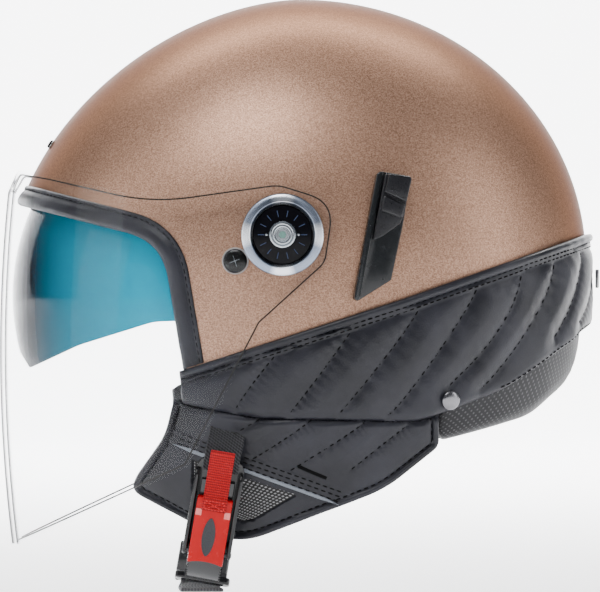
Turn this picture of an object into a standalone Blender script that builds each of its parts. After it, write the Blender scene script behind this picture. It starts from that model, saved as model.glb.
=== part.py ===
"""Open face motorcycle helmet with a clear visor, a drop-down sun visor and a leather neck apron.

The helmet faces -X, the wearer's left is -Y and up is +Z. The origin is the centre of the head
cavity. Every curved layer is the same rounded shape, taken at its own depth under the paint.
"""

import math

import bpy
import bmesh
from mathutils import Matrix, Vector

LEFT = -1
RIGHT = 1
SIDES = (("left", LEFT), ("right", RIGHT))
FAR = 0.22
GAP = 0.0004
AROUND = 36
ACROSS = 18

# The rounded shape of the shell's painted face.
SHELL_FRONT = 0.1396
SHELL_REAR = 0.1373
SHELL_TOP = 0.1260
SHELL_DROP = 0.2000
SHELL_HALF_WIDTH = 0.1180
FRONT_POWER = 1.77
REAR_POWER = 2.0
SIDE_POWER = 2.1
SHELL_WALL = 0.0030

# Side outlines, as (x, z, corner radius).
FACE_LINE = ((-0.160, 0.0337, 0), (-0.0653, 0.0091, 0.026), (-0.0550, -0.0520, 0.03), (-0.0550, -0.0900, 0))
HEM_LINE = ((-0.0800, -0.0620, 0), (-0.0200, -0.0735, 0.05), (0.0560, -0.0752, 0.03),
            (0.0960, -0.0600, 0.05), (0.1248, -0.0398, 0.05), (0.1700, -0.0020, 0))
APRON_TOP = ((-0.0700, -0.0560, 0), (0.0480, -0.0178, 0.2), (0.1700, 0.0250, 0))
FLAP_LINE = ((0.0655, -0.0500, 0), (0.0655, -0.0870, 0.008), (0.0400, -0.1075, 0.06),
             (-0.0300, -0.1345, 0.035), (-0.0815, -0.1070, 0.008), (-0.0640, -0.0820, 0.03),
             (-0.0560, -0.0500, 0))
NECK_LINE = ((0.0662, -0.0500, 0), (0.0662, -0.0850, 0.002), (0.1080, -0.0735, 0.03),
             (0.1300, -0.0560, 0.03), (0.1400, -0.0200, 0.01), (0.1800, 0.0200, 0))
EDGE_COVER = 0.0018
TRIM_WIDTH = 0.0103
TRIM_STANDOFF = 0.0023
TRIM_LEG = 0.0007
SHELL_HEM = 0.0040

# Padding.
EPS_GAP = 0.0013
EPS_INNER = 0.0310
EPS_BROW_SETBACK = 0.0035
CROWN_THICKNESS = 0.0055
CHEEK_OUTER = 0.0095
CHEEK_INNER = 0.0350
EAR_X = 0.0080
EAR_Z = -0.0220
EAR_RADIUS = 0.0300
EAR_FLOOR = SHELL_HALF_WIDTH - 0.0180
NECK_INNER = 0.0260
APRON_THICKNESS = 0.0038
FLAP_OUTER = 0.0036
FLAP_INNER = 0.0074
PANEL_THICKNESS = 0.0006
PIPING_RADIUS = 0.0009

# Clear visor and its pivots.
PIVOT_X = -0.0082
PIVOT_Z = 0.0125
VISOR_WALL = 0.0022
VISOR_STANDOFF_FRONT = 0.0044
VISOR_REACH = SHELL_FRONT + VISOR_STANDOFF_FRONT + PIVOT_X
VISOR_POWER = 2.2
VISOR_BOW = 0.7350
VISOR_BOW_Z = -0.0422
VISOR_LINE = ((-0.170, 0.0331, 0), (-0.1400, 0.0331, 0.002), (-0.1345, 0.0438, 0.004),
              (-0.1200, 0.0412, 0.05), (-0.0700, 0.0295, 0.10), (-0.0100, 0.0378, 0.02),
              (0.0180, 0.0290, 0.018), (0.0135, -0.0015, 0.012), (-0.0178, -0.0298, 0),
              (-0.0440, -0.0800, 0.02), (-0.0528, -0.0970, 0.003), (-0.0797, -0.1094, 0.1),
              (-0.1340, -0.1345, 0.002), (-0.170, -0.1375, 0))
BASE_RADIUS = 0.0187
BASE_HEIGHT = 0.0026
VISOR_STANDOFF = 0.0012
RING_RADIUS = 0.0194
RING_BORE = 0.0140
RING_HEIGHT = 0.0034
CAP_HEIGHT = 0.0024
BOLT_HEAD_RADIUS = 0.0064
BOLT_HEAD_HEIGHT = 0.0016
BOLT_RADIUS = 0.0030
BOLT_LENGTH = 0.0160
BUSH_RADIUS = 0.0060
NUT_RADIUS = 0.0070
NUT_HEIGHT = 0.0040
WASHER_RADIUS = 0.0100
WASHER_THICKNESS = 0.0005
SCREW_X = -0.0304
SCREW_Z = 0.0002
SCREW_HEAD_RADIUS = 0.0060
SCREW_HEAD_HEIGHT = 0.0018
SCREW_RADIUS = 0.0020
SCREW_LENGTH = 0.0090

# Sun visor.
SUN_X = -0.0336
SUN_Z = -0.0163
SUN_BEHIND_SHELL = 0.0015
SUN_BESIDE_SHELL = 0.0160
SUN_RADIUS = SHELL_FRONT + SUN_X - SUN_BEHIND_SHELL
SUN_HALF_WIDTH = SHELL_HALF_WIDTH - SUN_BESIDE_SHELL
SUN_POWER = 1.95
SUN_WALL = 0.0020
SUN_CLEAR = 0.0015
SUN_TURN = math.radians(48)
SUN_LOW = ((-0.170, -0.0700, 0), (-0.1075, -0.0403, 0.05), (-0.0700, -0.0285, 0.04))
SUN_HIDE = 0.0045
HUB_RADIUS = 0.0112
HUB_HOLE = 0.0028
NOSE_RADIUS = 0.0350
NOSE_Z = -0.0775
PIN_RADIUS = 0.0024
PIN_HEAD_RADIUS = 0.0042
PIN_HEAD_HEIGHT = 0.0014
PLATE_THICKNESS = 0.0030
PLATE_HALF_HEIGHT = 0.0080
PLATE_REACH = 0.0260

# Sun visor slider, in its own frame: across, along (up) and out of the shell.
SLIDER_X = 0.0389
SLIDER_Z = 0.0115
SLIDER_LEAN = math.radians(11.75)
SLIDER_TRAVEL = 0.0220
BASE_PLATE = ((-0.0087, 0.0283), (-0.0070, 0.0302), (0.0076, 0.0308), (0.0084, 0.0120),
              (0.0084, 0.0060), (0.0076, -0.0193), (-0.0065, -0.0323), (-0.0087, -0.0315))
KNOB_FACE = ((-0.0052, 0.0290), (0.0071, 0.0300), (0.0076, 0.0130), (0.0062, 0.0075),
             (-0.0010, -0.0002), (-0.0052, -0.0032))
PLATE_OUT = 0.0024
KNOB_HEIGHT = 0.0042
STEM_HALF_WIDTH = 0.0015
STEM_LOW = 0.0100
STEM_HIGH = 0.0180
SLOT_CLEAR = 0.0006
SHOE_DEPTH = 0.0058
SHOE_THICKNESS = 0.0020
SHOE_HALF_WIDTH = 0.0042
CABLE_RADIUS = 0.0010
CABLE_DEPTH = 0.0065
CABLE_ROUTE = ((-0.0040, -0.0130), (0.0130, -0.0140), (0.0290, -0.0120))

# Fittings on the leather and the shell.
STUD_X = 0.0710
STUD_Z = -0.0655
STUD_RADIUS = 0.0045
STUD_HEIGHT = 0.0022
POST_RADIUS = 0.0015
POST_LENGTH = 0.0034
TAG_HALF_HEIGHT = 0.0045
TAG_HALF_WIDTH = 0.0110
TAG_THICKNESS = 0.0015
BADGE_Z = 0.0520
BADGE_HALF_WIDTH = 0.0120
BADGE_HALF_HEIGHT = 0.0022
BADGE_THICKNESS = 0.0012

# Chin strap and buckle.
STRAP_WIDTH = 0.0200
STRAP_THICKNESS = 0.0018
STRAP_DEPTH = 0.0058
STRAP_LIFT = 0.0005
ANCHOR_X = -0.0310
ANCHOR_Z = -0.0620
SLOT_TOP = -0.0730
SLOT_BOTTOM = -0.0850
BUCKLE_X = -0.0365
BUCKLE_Z = -0.0922
BUCKLE_OUT = 0.0085
BUCKLE_SIDE_LEAN = 0.169
BUCKLE_IN_LEAN = 0.318
BODY_LENGTH = 0.0485
BODY_WIDTH = 0.0230
BODY_WALL = 0.0018
BODY_FLOOR = 0.0016
BODY_SIDE = 0.0094
LEVER_WIDTH = 0.0168
LEVER_TOP = 0.0184
LEVER_END = 0.0510
LEVER_PIN_ALONG = 0.0455
LEVER_PIN_OUT = 0.0070
LEVER_PIN_RADIUS = 0.0012
PIN_CLEAR = 0.0003
COIL_RADIUS = 0.0023
TAB_WIDTH = 0.0115
RATCHET_WIDTH = 0.0160
RATCHET_THICKNESS = 0.0022
RATCHET_OUT = 0.0031
RATCHET_BEND = 0.0140
RATCHET_TURN = math.radians(65)
LOCK_WIDTH = 0.0265
LOCK_LENGTH = 0.0120
LOCK_THICKNESS = 0.0034
PAD_WIDTH = 0.0260
PAD_THICKNESS = 0.0040


# Helpers that make and cut meshes.
def clear_scene():
    for obj in list(bpy.data.objects):
        bpy.data.objects.remove(obj)


def mesh_object(name, points, faces):
    mesh = bpy.data.meshes.new(name)
    mesh.from_pydata([tuple(p) for p in points], [], faces)
    obj = bpy.data.objects.new(name, mesh)
    bpy.context.scene.collection.objects.link(obj)
    work = bmesh.new()
    work.from_mesh(mesh)
    bmesh.ops.remove_doubles(work, verts=work.verts, dist=1e-7)
    bmesh.ops.recalc_face_normals(work, faces=work.faces)
    work.to_mesh(mesh)
    work.free()
    return obj


def guide(obj):
    """Keeps a cutter out of the finished helmet."""
    obj.hide_render = True
    obj.display_type = "WIRE"
    return obj


def boolean(obj, other, operation):
    modifier = obj.modifiers.new(operation.lower(), "BOOLEAN")
    modifier.operation = operation
    modifier.solver = "EXACT"
    modifier.object = other
    guide(other)
    return obj


def cut(obj, *others):
    for other in others:
        boolean(obj, other, "DIFFERENCE")
    return obj


def keep(obj, other):
    return boolean(obj, other, "INTERSECT")


def finish(obj, colour, roughness, metallic=0.0, alpha=1.0):
    material = bpy.data.materials.new(obj.name)
    material.use_nodes = True
    shader = material.node_tree.nodes["Principled BSDF"]
    shader.inputs["Base Color"].default_value = (*colour, 1.0)
    shader.inputs["Roughness"].default_value = roughness
    shader.inputs["Metallic"].default_value = metallic
    shader.inputs["Alpha"].default_value = alpha
    obj.data.materials.append(material)
    obj.data.shade_smooth()
    obj.data.set_sharp_from_angle(angle=math.radians(35))
    return obj


def place_origin(obj, point):
    """Moves the object's origin onto its joint's axis and leaves its shape where it is."""
    obj.data.transform(Matrix.Translation(-Vector(point)))
    obj.location = point


# Side outlines.
def rounded(corners, steps=4):
    """The corners' (x, z) line with each inner corner turned into an arc of its own radius."""
    line = []
    for i, (x, z, radius) in enumerate(corners):
        if radius == 0 or i in (0, len(corners) - 1):
            line.append((x, z))
            continue
        here = Vector((x, z))
        back = (Vector(corners[i - 1][:2]) - here)
        ahead = (Vector(corners[i + 1][:2]) - here)
        half = back.angle(ahead) / 2
        reach = min(radius / math.tan(half), 0.48 * back.length, 0.48 * ahead.length)
        start = here + back.normalized() * reach
        end = here + ahead.normalized() * reach
        for k in range(steps + 1):
            t = k / steps
            line.append(tuple(start * (1 - t) ** 2 + here * 2 * t * (1 - t) + end * t * t))
    return line


def offset(line, distance):
    """The open line moved sideways, to the right of its direction for a positive distance."""
    moved = []
    for i, point in enumerate(line):
        here = Vector(point)
        back = here - Vector(line[i - 1]) if i else Vector(line[1]) - here
        ahead = Vector(line[i + 1]) - here if i < len(line) - 1 else back
        normals = [Vector((d.y, -d.x)).normalized() for d in (back, ahead)]
        mean = (normals[0] + normals[1]).normalized()
        moved.append(tuple(here + mean * distance / max(mean.dot(normals[0]), 0.5)))
    return moved


def prism(name, line, low=-FAR, high=FAR):
    """The closed (x, z) outline drawn out along Y."""
    count = len(line)
    points = [(x, y, z) for y in (low, high) for x, z in line]
    faces = [tuple(range(count)), tuple(range(2 * count - 1, count - 1, -1))]
    faces += [(i, (i + 1) % count, (i + 1) % count + count, i + count) for i in range(count)]
    return guide(mesh_object(name, points, faces))


def circle_prism(name, x, z, radius, low, high, steps=32):
    turn = [2 * math.pi * k / steps for k in range(steps)]
    return prism(name, [(x + radius * math.cos(a), z + radius * math.sin(a)) for a in turn], low, high)


# The rounded shape and its layers.
def semi_axes(x, z, depth):
    front = (SHELL_FRONT if x < 0 else SHELL_REAR) - depth
    height = (SHELL_TOP if z > 0 else SHELL_DROP) - depth
    return front, height, FRONT_POWER if x < 0 else REAR_POWER


def gauge(x, z, depth=0.0):
    """0 on the Y axis and 1 on the layer's own side outline."""
    front, height, power = semi_axes(x, z, depth)
    return ((abs(x) / front) ** power + (abs(z) / height) ** power) ** (1 / power)


def half_width(x, z, depth=0.0):
    inside = max(0.0, 1 - gauge(x, z, depth) ** SIDE_POWER)
    return (SHELL_HALF_WIDTH - depth) * inside ** (1 / SIDE_POWER)


def on_layer(x, z, depth, side):
    return Vector((x, side * half_width(x, z, depth), z))


def outward(x, z, depth, side):
    step = 0.002
    along = on_layer(x + step, z, depth, side) - on_layer(x - step, z, depth, side)
    up = on_layer(x, z + step, depth, side) - on_layer(x, z - step, depth, side)
    return up.cross(along).normalized() * side


def dome(name, depth, around=AROUND, across=ACROSS):
    """The whole closed layer surface, with its poles on the Y axis."""
    points = [(0, -(SHELL_HALF_WIDTH - depth), 0)]
    for j in range(1, across):
        angle = math.pi * (j / across - 0.5)
        shrink = abs(math.cos(angle)) ** (2 / SIDE_POWER)
        y = math.copysign(abs(math.sin(angle)) ** (2 / SIDE_POWER), angle) * (SHELL_HALF_WIDTH - depth)
        for i in range(around):
            turn = 2 * math.pi * i / around
            reach = shrink / gauge(math.cos(turn), math.sin(turn), depth)
            points.append((reach * math.cos(turn), y, reach * math.sin(turn)))
    points.append((0, SHELL_HALF_WIDTH - depth, 0))
    return mesh_object(name, points, wheel_faces(around, across))


def wheel_faces(around, across):
    faces = [(0, 1 + (i + 1) % around, 1 + i) for i in range(around)]
    for j in range(across - 2):
        for i in range(around):
            a = 1 + j * around + i
            b = 1 + j * around + (i + 1) % around
            faces.append((a, b, b + around, a + around))
    last = 1 + (across - 1) * around
    faces += [(last, last - around + i, last - around + (i + 1) % around) for i in range(around)]
    return faces


def layer(name, outer, inner, line, low=-FAR, high=FAR):
    """The part of the helmet's wall between two depths that lies inside a side outline."""
    obj = dome(name, outer)
    cut(obj, dome(name + "_inside", inner))
    return keep(obj, prism(name + "_outline", line, low, high))


def slab(name, outer, inner, line):
    """A cutter or a helper solid between two depths."""
    return guide(layer(name, outer, inner, line))


# Turned and straight pieces.
def frame_at(point, out, up=(0, 0, 1)):
    """A matrix whose local Z is out and whose local Y is as near to up as it can be."""
    out = Vector(out).normalized()
    across = Vector(up).cross(out).normalized()
    along = out.cross(across)
    return Matrix.Translation(point) @ Matrix((across, along, out)).transposed().to_4x4()


def turned(name, profile, place, steps=32):
    """A profile of (radius, height), closed on itself or ending on the axis, turned about local Z."""
    points = []
    for radius, height in profile:
        for k in range(steps):
            turn = 2 * math.pi * k / steps
            points.append(place @ Vector((radius * math.cos(turn), radius * math.sin(turn), height)))
    rings = len(profile)
    hollow = profile[0][0] > 0
    faces = []
    for j in range(rings if hollow else rings - 1):
        after = (j + 1) % rings
        for k in range(steps):
            n = (k + 1) % steps
            faces.append((j * steps + k, j * steps + n, after * steps + n, after * steps + k))
    return mesh_object(name, points, faces)


def disc_profile(radius, low, high, bevel=0.0):
    return ((0, high), (radius - bevel, high), (radius, high - bevel), (radius, low), (0, low))


def ring_profile(radius, bore, low, high, bevel=0.0):
    return ((bore, low), (radius, low), (radius, high - bevel), (radius - bevel, high), (bore, high))


def extruded(name, face, low, high, place, plane="xy"):
    """A closed outline in a local plane, drawn out along the third local axis."""
    order = {"xy": lambda a, b, c: (a, b, c), "yz": lambda a, b, c: (c, a, b)}[plane]
    count = len(face)
    points = [place @ Vector(order(a, b, c)) for c in (low, high) for a, b in face]
    faces = [tuple(range(count)), tuple(range(2 * count - 1, count - 1, -1))]
    faces += [(i, (i + 1) % count, (i + 1) % count + count, i + count) for i in range(count)]
    return mesh_object(name, points, faces)


def box(name, low, high, place):
    face = ((low[0], low[1]), (high[0], low[1]), (high[0], high[1]), (low[0], high[1]))
    return extruded(name, face, low[2], high[2], place)


def band(name, route, widths, thickness, across):
    """A flat strap along a route, with its width along one direction."""
    points = []
    across = Vector(across).normalized()
    for i, point in enumerate(route):
        here = Vector(point)
        ahead = Vector(route[min(i + 1, len(route) - 1)]) - Vector(route[max(i - 1, 0)])
        out = ahead.cross(across).normalized() * thickness / 2
        side = across * widths / 2
        points += [here - side - out, here + side - out, here + side + out, here - side + out]
    faces = [(0, 1, 2, 3), tuple(len(points) - 1 - k for k in range(4))]
    for i in range(len(route) - 1):
        for k in range(4):
            n = (k + 1) % 4
            faces.append((4 * i + k, 4 * i + n, 4 * i + 4 + n, 4 * i + 4 + k))
    return mesh_object(name, points, faces)


def tube(name, route, radius, sides=6):
    points = []
    for i, point in enumerate(route):
        ahead = Vector(route[min(i + 1, len(route) - 1)]) - Vector(route[max(i - 1, 0)])
        place = frame_at(point, ahead, (0, 1, 0))
        for k in range(sides):
            turn = 2 * math.pi * k / sides
            points.append(place @ Vector((radius * math.cos(turn), radius * math.sin(turn), 0)))
    faces = [tuple(range(sides)), tuple(len(points) - 1 - k for k in range(sides))]
    for i in range(len(route) - 1):
        for k in range(sides):
            n = (k + 1) % sides
            faces.append((sides * i + k, sides * i + n, sides * (i + 1) + n, sides * (i + 1) + k))
    return mesh_object(name, points, faces)


# Outlines shared by neighbouring pieces.
def face_line(distance):
    """The edge of the face opening, moved back into the shell."""
    return offset(rounded(FACE_LINE), -distance)


def hem_line(drop):
    """The apron's lower edge, moved down."""
    return offset(rounded(HEM_LINE), drop)


def apron_top(rise):
    return offset(rounded(APRON_TOP), -rise)


def shell_outline(edge, hem):
    """Everything behind the face opening and above the hem."""
    front = [p for p in face_line(edge) if p[1] > -0.0560]
    low = [p for p in hem_line(-hem) if p[0] > front[-1][0] + 0.002]
    return [(-FAR, FAR)] + front + low + [(FAR, low[-1][1]), (FAR, FAR)]


# Shell, trim and padding.
def make_shell(holes):
    shell = layer("outer_shell", 0, SHELL_WALL, shell_outline(EDGE_COVER, SHELL_HEM))
    cut(shell, *holes)
    return finish(shell, (0.33, 0.17, 0.11), 0.38, 0.7)


def make_trim():
    inner = [p for p in face_line(0) if p[1] > -0.0580]
    outer = [p for p in face_line(TRIM_WIDTH) if p[1] > -0.0580]
    trim = layer("edge_trim", -TRIM_STANDOFF, SHELL_WALL + GAP + TRIM_LEG, inner + outer[::-1])
    cut(trim, slab("trim_slot", -GAP, SHELL_WALL + GAP, shell_outline(EDGE_COVER - GAP, SHELL_HEM - GAP)))
    top = apron_top(GAP)
    cut(trim, prism("trim_end", top + [(top[-1][0], -FAR), (top[0][0], -FAR)]))
    return finish(trim, (0.02, 0.02, 0.022), 0.6)


def make_apron(holes):
    line = apron_top(0) + hem_line(0)[::-1]
    front = face_line(-0.001)
    apron = layer("neck_apron", -GAP - APRON_THICKNESS, -GAP, line)
    cut(apron, prism("apron_front", front + [(-FAR, front[-1][1]), (-FAR, front[0][1])]))
    cut(apron, *holes)
    return finish(apron, (0.022, 0.022, 0.025), 0.55)


def make_liner(hollows):
    edge = face_line(EPS_BROW_SETBACK)
    front = [p for p in edge if p[1] > -0.0500]
    low = [(0.0450, -0.0560)] + [p for p in hem_line(-SHELL_HEM - 0.012) if p[0] > 0.0800]
    line = [(-FAR, FAR)] + front + [(front[-1][0], -0.0560)] + low + [(FAR, low[-1][1]), (FAR, FAR)]
    liner = layer("impact_liner", SHELL_WALL + EPS_GAP, EPS_INNER, line)
    cut(liner, *hollows)
    return finish(liner, (0.03, 0.03, 0.03), 0.85)


def make_crown_pad():
    rim = ((-FAR, 0.0420), (-0.1000, 0.0300), (-0.0600, 0.0150), (0.0460, 0.0120), (0.0800, -0.0200),
           (FAR, -0.0200), (FAR, FAR), (-FAR, FAR))
    pad = layer("crown_pad", EPS_INNER + GAP, EPS_INNER + GAP + CROWN_THICKNESS, rim)
    return finish(pad, (0.04, 0.04, 0.042), 0.9)


def make_cheek_pad(label, side):
    corners = ((-0.0620, -0.0570, 0), (0.0480, -0.0570, 0), (0.0480, -0.0880, 0.02),
               (0.0100, -0.1170, 0.02), (-0.0480, -0.1200, 0.02), (-0.0700, -0.1010, 0.01),
               (-0.0620, -0.0800, 0))
    low, high = sorted((side * 0.01, side * FAR))
    pad = layer("cheek_pad_" + label, CHEEK_OUTER, CHEEK_INNER, rounded(corners), low, high)
    return finish(pad, (0.035, 0.035, 0.037), 0.9)


def make_neck_roll():
    line = rounded(NECK_LINE)
    top = hem_line(-SHELL_HEM + 0.0006)
    roll = layer("neck_roll", 0.0004, NECK_INNER, line + [(0.0662, FAR)])
    cut(roll, prism("neck_top", top + [(FAR, top[-1][1]), (FAR, FAR), (-FAR, FAR)]))
    return finish(roll, (0.025, 0.025, 0.027), 0.8)


def make_ear_flap(label, side, slot):
    low, high = sorted((side * 0.02, side * FAR))
    flap = layer("ear_flap_" + label, -FLAP_OUTER, FLAP_INNER, rounded(FLAP_LINE), low, high)
    top = hem_line(GAP)
    cut(flap, prism("flap_top_" + label, top + [(FAR, top[-1][1]), (FAR, FAR), (-FAR, FAR)]), slot)
    return finish(flap, (0.022, 0.022, 0.025), 0.55)


def make_mesh_panel(label, side):
    corners = ((-0.0500, -0.0975), (-0.0038, -0.1115), (-0.0245, -0.1240), (-0.0480, -0.1160))
    outer = -FLAP_OUTER - GAP - PANEL_THICKNESS
    low, high = sorted((side * 0.02, side * FAR))
    panel = layer("mesh_panel_" + label, outer, -FLAP_OUTER - GAP, corners, low, high)
    return finish(panel, (0.015, 0.015, 0.015), 0.8)


def make_piping(label, side):
    ends = ((-0.0590, -0.0867), (0.0178, -0.1150))
    depth = -FLAP_OUTER - GAP - PIPING_RADIUS
    route = []
    for k in range(10):
        t = k / 9
        x = ends[0][0] * (1 - t) + ends[1][0] * t
        z = ends[0][1] * (1 - t) + ends[1][1] * t
        route.append(on_layer(x, z, depth, side))
    return finish(tube("piping_" + label, route, PIPING_RADIUS), (0.25, 0.27, 0.29), 0.5)


# Clear visor and pivots.
def base_top():
    return half_width(PIVOT_X, PIVOT_Z) + BASE_HEIGHT


def visor_inside():
    return base_top() + VISOR_STANDOFF


def visor_outside():
    return visor_inside() + VISOR_WALL


def visor_section(z, inset, steps):
    """The visor's plan line at one height, from the left side round the front to the right."""
    reach = VISOR_REACH - (z - VISOR_BOW_Z) ** 2 / (2 * VISOR_BOW) - inset
    wide = visor_outside() - inset
    line = [Vector((0.030, -wide, z))]
    for k in range(steps + 1):
        turn = math.pi * (k / steps - 0.5)
        x = PIVOT_X - reach * abs(math.cos(turn)) ** (2 / VISOR_POWER)
        y = math.copysign(abs(math.sin(turn)) ** (2 / VISOR_POWER), turn) * wide
        line.append(Vector((x, y, z)))
    line.append(Vector((0.030, wide, z)))
    return line


def make_visor():
    steps, levels = 36, 4
    rows = []
    for j in range(levels + 1):
        z = 0.060 - 0.210 * j / levels
        rows.append(visor_section(z, 0, steps) + visor_section(z, VISOR_WALL, steps)[::-1])
    ring = len(rows[0])
    points = [p for row in rows for p in row]
    half = ring // 2
    faces = []
    for j in range(levels):
        for i in range(ring):
            n = (i + 1) % ring
            faces.append((j * ring + i, j * ring + n, (j + 1) * ring + n, (j + 1) * ring + i))
    for start in (0, levels * ring):
        for i in range(half - 1):
            a = start + i
            b = start + ring - 1 - i
            faces.append((a, a + 1, b - 1, b))
    visor = mesh_object("visor", points, faces)
    keep(visor, prism("visor_outline", rounded(VISOR_LINE)))
    cut(visor, circle_prism("visor_holes", PIVOT_X, PIVOT_Z, BUSH_RADIUS + GAP, -FAR, FAR, 24))
    place_origin(visor, (PIVOT_X, 0, PIVOT_Z))
    return finish(visor, (0.95, 0.97, 0.98), 0.03, 0, 0.2)


def pivot_place(side, distance):
    return frame_at((PIVOT_X, side * distance, PIVOT_Z), (0, side, 0))


def make_pivot(label, side, shell_core):
    top = base_top()
    flat = visor_outside() + GAP
    shank = BOLT_RADIUS + GAP
    base = turned("pivot_base_" + label, ring_profile(BASE_RADIUS, shank, -0.006, 0, 0.001),
                  pivot_place(side, top))
    finish(cut(base, shell_core), (0.03, 0.03, 0.03), 0.5)
    bush_low, bush_high = top + GAP, flat - GAP
    bush = turned("pivot_bush_" + label, ring_profile(BUSH_RADIUS, shank, bush_low, bush_high),
                  pivot_place(side, 0), 24)
    finish(bush, (0.6, 0.6, 0.62), 0.3, 1)
    middle = (top + visor_inside()) / 2
    washer = ring_profile(WASHER_RADIUS, BUSH_RADIUS + GAP, -WASHER_THICKNESS / 2, WASHER_THICKNESS / 2)
    finish(turned("spring_washer_" + label, washer, pivot_place(side, middle), 24), (0.6, 0.6, 0.6), 0.3, 1)
    ring = ((RING_BORE, 0), (RING_RADIUS, 0), (RING_RADIUS, 0.0012), (RING_RADIUS - 0.0012, RING_HEIGHT),
            (RING_BORE + 0.0022, RING_HEIGHT), (RING_BORE, RING_HEIGHT - 0.0014))
    finish(turned("pivot_ring_" + label, ring, pivot_place(side, flat)), (0.72, 0.75, 0.8), 0.22, 1)
    cap = ring_profile(RING_BORE - GAP, shank, 0, CAP_HEIGHT, 0.0004)
    finish(turned("pivot_cap_" + label, cap, pivot_place(side, flat)), (0.01, 0.01, 0.012), 0.12)
    head = flat + CAP_HEIGHT + GAP
    bolt = ((0, BOLT_HEAD_HEIGHT), (BOLT_HEAD_RADIUS - 0.0008, BOLT_HEAD_HEIGHT),
            (BOLT_HEAD_RADIUS, BOLT_HEAD_HEIGHT - 0.0006), (BOLT_HEAD_RADIUS, 0), (BOLT_RADIUS, 0),
            (BOLT_RADIUS, -BOLT_LENGTH), (0, -BOLT_LENGTH))
    finish(turned("pivot_bolt_" + label, bolt, pivot_place(side, head), 24), (0.7, 0.72, 0.7), 0.25, 1)
    nut_face = half_width(PIVOT_X, PIVOT_Z, SHELL_WALL) - GAP
    nut = ring_profile(NUT_RADIUS, shank / math.cos(math.pi / 6), -NUT_HEIGHT, -0.0006)
    finish(turned("pivot_nut_" + label, nut, pivot_place(side, nut_face), 6), (0.6, 0.6, 0.6), 0.35, 1)


def make_side_screw(label, side):
    point = on_layer(SCREW_X, SCREW_Z, -GAP, side)
    place = frame_at(point, outward(SCREW_X, SCREW_Z, 0, side))
    profile = ((0, SCREW_HEAD_HEIGHT), (SCREW_HEAD_RADIUS - 0.0008, SCREW_HEAD_HEIGHT),
               (SCREW_HEAD_RADIUS, SCREW_HEAD_HEIGHT - 0.0006), (SCREW_HEAD_RADIUS, 0.0002),
               (SCREW_RADIUS, 0.0002), (SCREW_RADIUS, -SCREW_LENGTH), (0, -SCREW_LENGTH))
    finish(turned("side_screw_" + label, profile, place, 24), (0.015, 0.015, 0.015), 0.15)
    return guide(turned("screw_hole_" + label, disc_profile(SCREW_RADIUS + GAP, -0.012, 0.004), place, 12))


# Sun visor.
def sun_body(name, shrink, around=36, across=18):
    """The turned shape that the sun visor's sheet is part of, with its axis on the hinge."""
    wide = SUN_HALF_WIDTH - shrink
    reach = SUN_RADIUS - shrink
    points = [(SUN_X, -wide, SUN_Z)]
    for j in range(1, across):
        angle = math.pi * (j / across - 0.5)
        radius = reach * abs(math.cos(angle)) ** (2 / SUN_POWER)
        y = math.copysign(abs(math.sin(angle)) ** (2 / SUN_POWER), angle) * wide
        for i in range(around):
            turn = 2 * math.pi * i / around
            points.append((SUN_X + radius * math.cos(turn), y, SUN_Z + radius * math.sin(turn)))
    points.append((SUN_X, wide, SUN_Z))
    return mesh_object(name, points, wheel_faces(around, across))


def sun_outline():
    low = rounded(SUN_LOW + ((SUN_X, SUN_Z - HUB_RADIUS, 0),))
    hub = []
    for k in range(1, 8):
        turn = math.radians(-90 + 180 * k / 8)
        hub.append((SUN_X + HUB_RADIUS * math.cos(turn), SUN_Z + HUB_RADIUS * math.sin(turn)))
    top = [p for p in face_line(SUN_HIDE) if p[1] > 0.0050][::-1]
    return low + hub + [(SUN_X, SUN_Z + HUB_RADIUS)] + top


def make_sun_visor():
    sheet = sun_body("sun_visor", 0)
    cut(sheet, sun_body("sun_inside", SUN_WALL))
    keep(sheet, prism("sun_visor_outline", sun_outline()))
    nose = frame_at((-0.20, 0, NOSE_Z), (1, 0, 0))
    cut(sheet, guide(turned("nose_arch", disc_profile(NOSE_RADIUS, 0, 0.12), nose, 32)))
    cut(sheet, circle_prism("sun_holes", SUN_X, SUN_Z, HUB_HOLE, -FAR, FAR, 16))
    place_origin(sheet, (SUN_X, 0, SUN_Z))
    return finish(sheet, (0.0, 0.25, 0.35), 0.08, 0.6)


def sun_pocket():
    """The space swept by the sun visor, which the impact liner leaves free."""
    first, last = math.radians(-32), math.radians(40) + SUN_TURN + math.radians(6)
    line = [(SUN_X + 0.016, SUN_Z - 0.016)]
    for k in range(9):
        turn = first + (last - first) * k / 8
        line.append((SUN_X - FAR * math.cos(turn), SUN_Z + FAR * math.sin(turn)))
    line.append((SUN_X + 0.016, SUN_Z + 0.020))
    return cut(prism("sun_pocket", line), sun_body("sun_pocket_floor", SUN_WALL + SUN_CLEAR))


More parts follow.
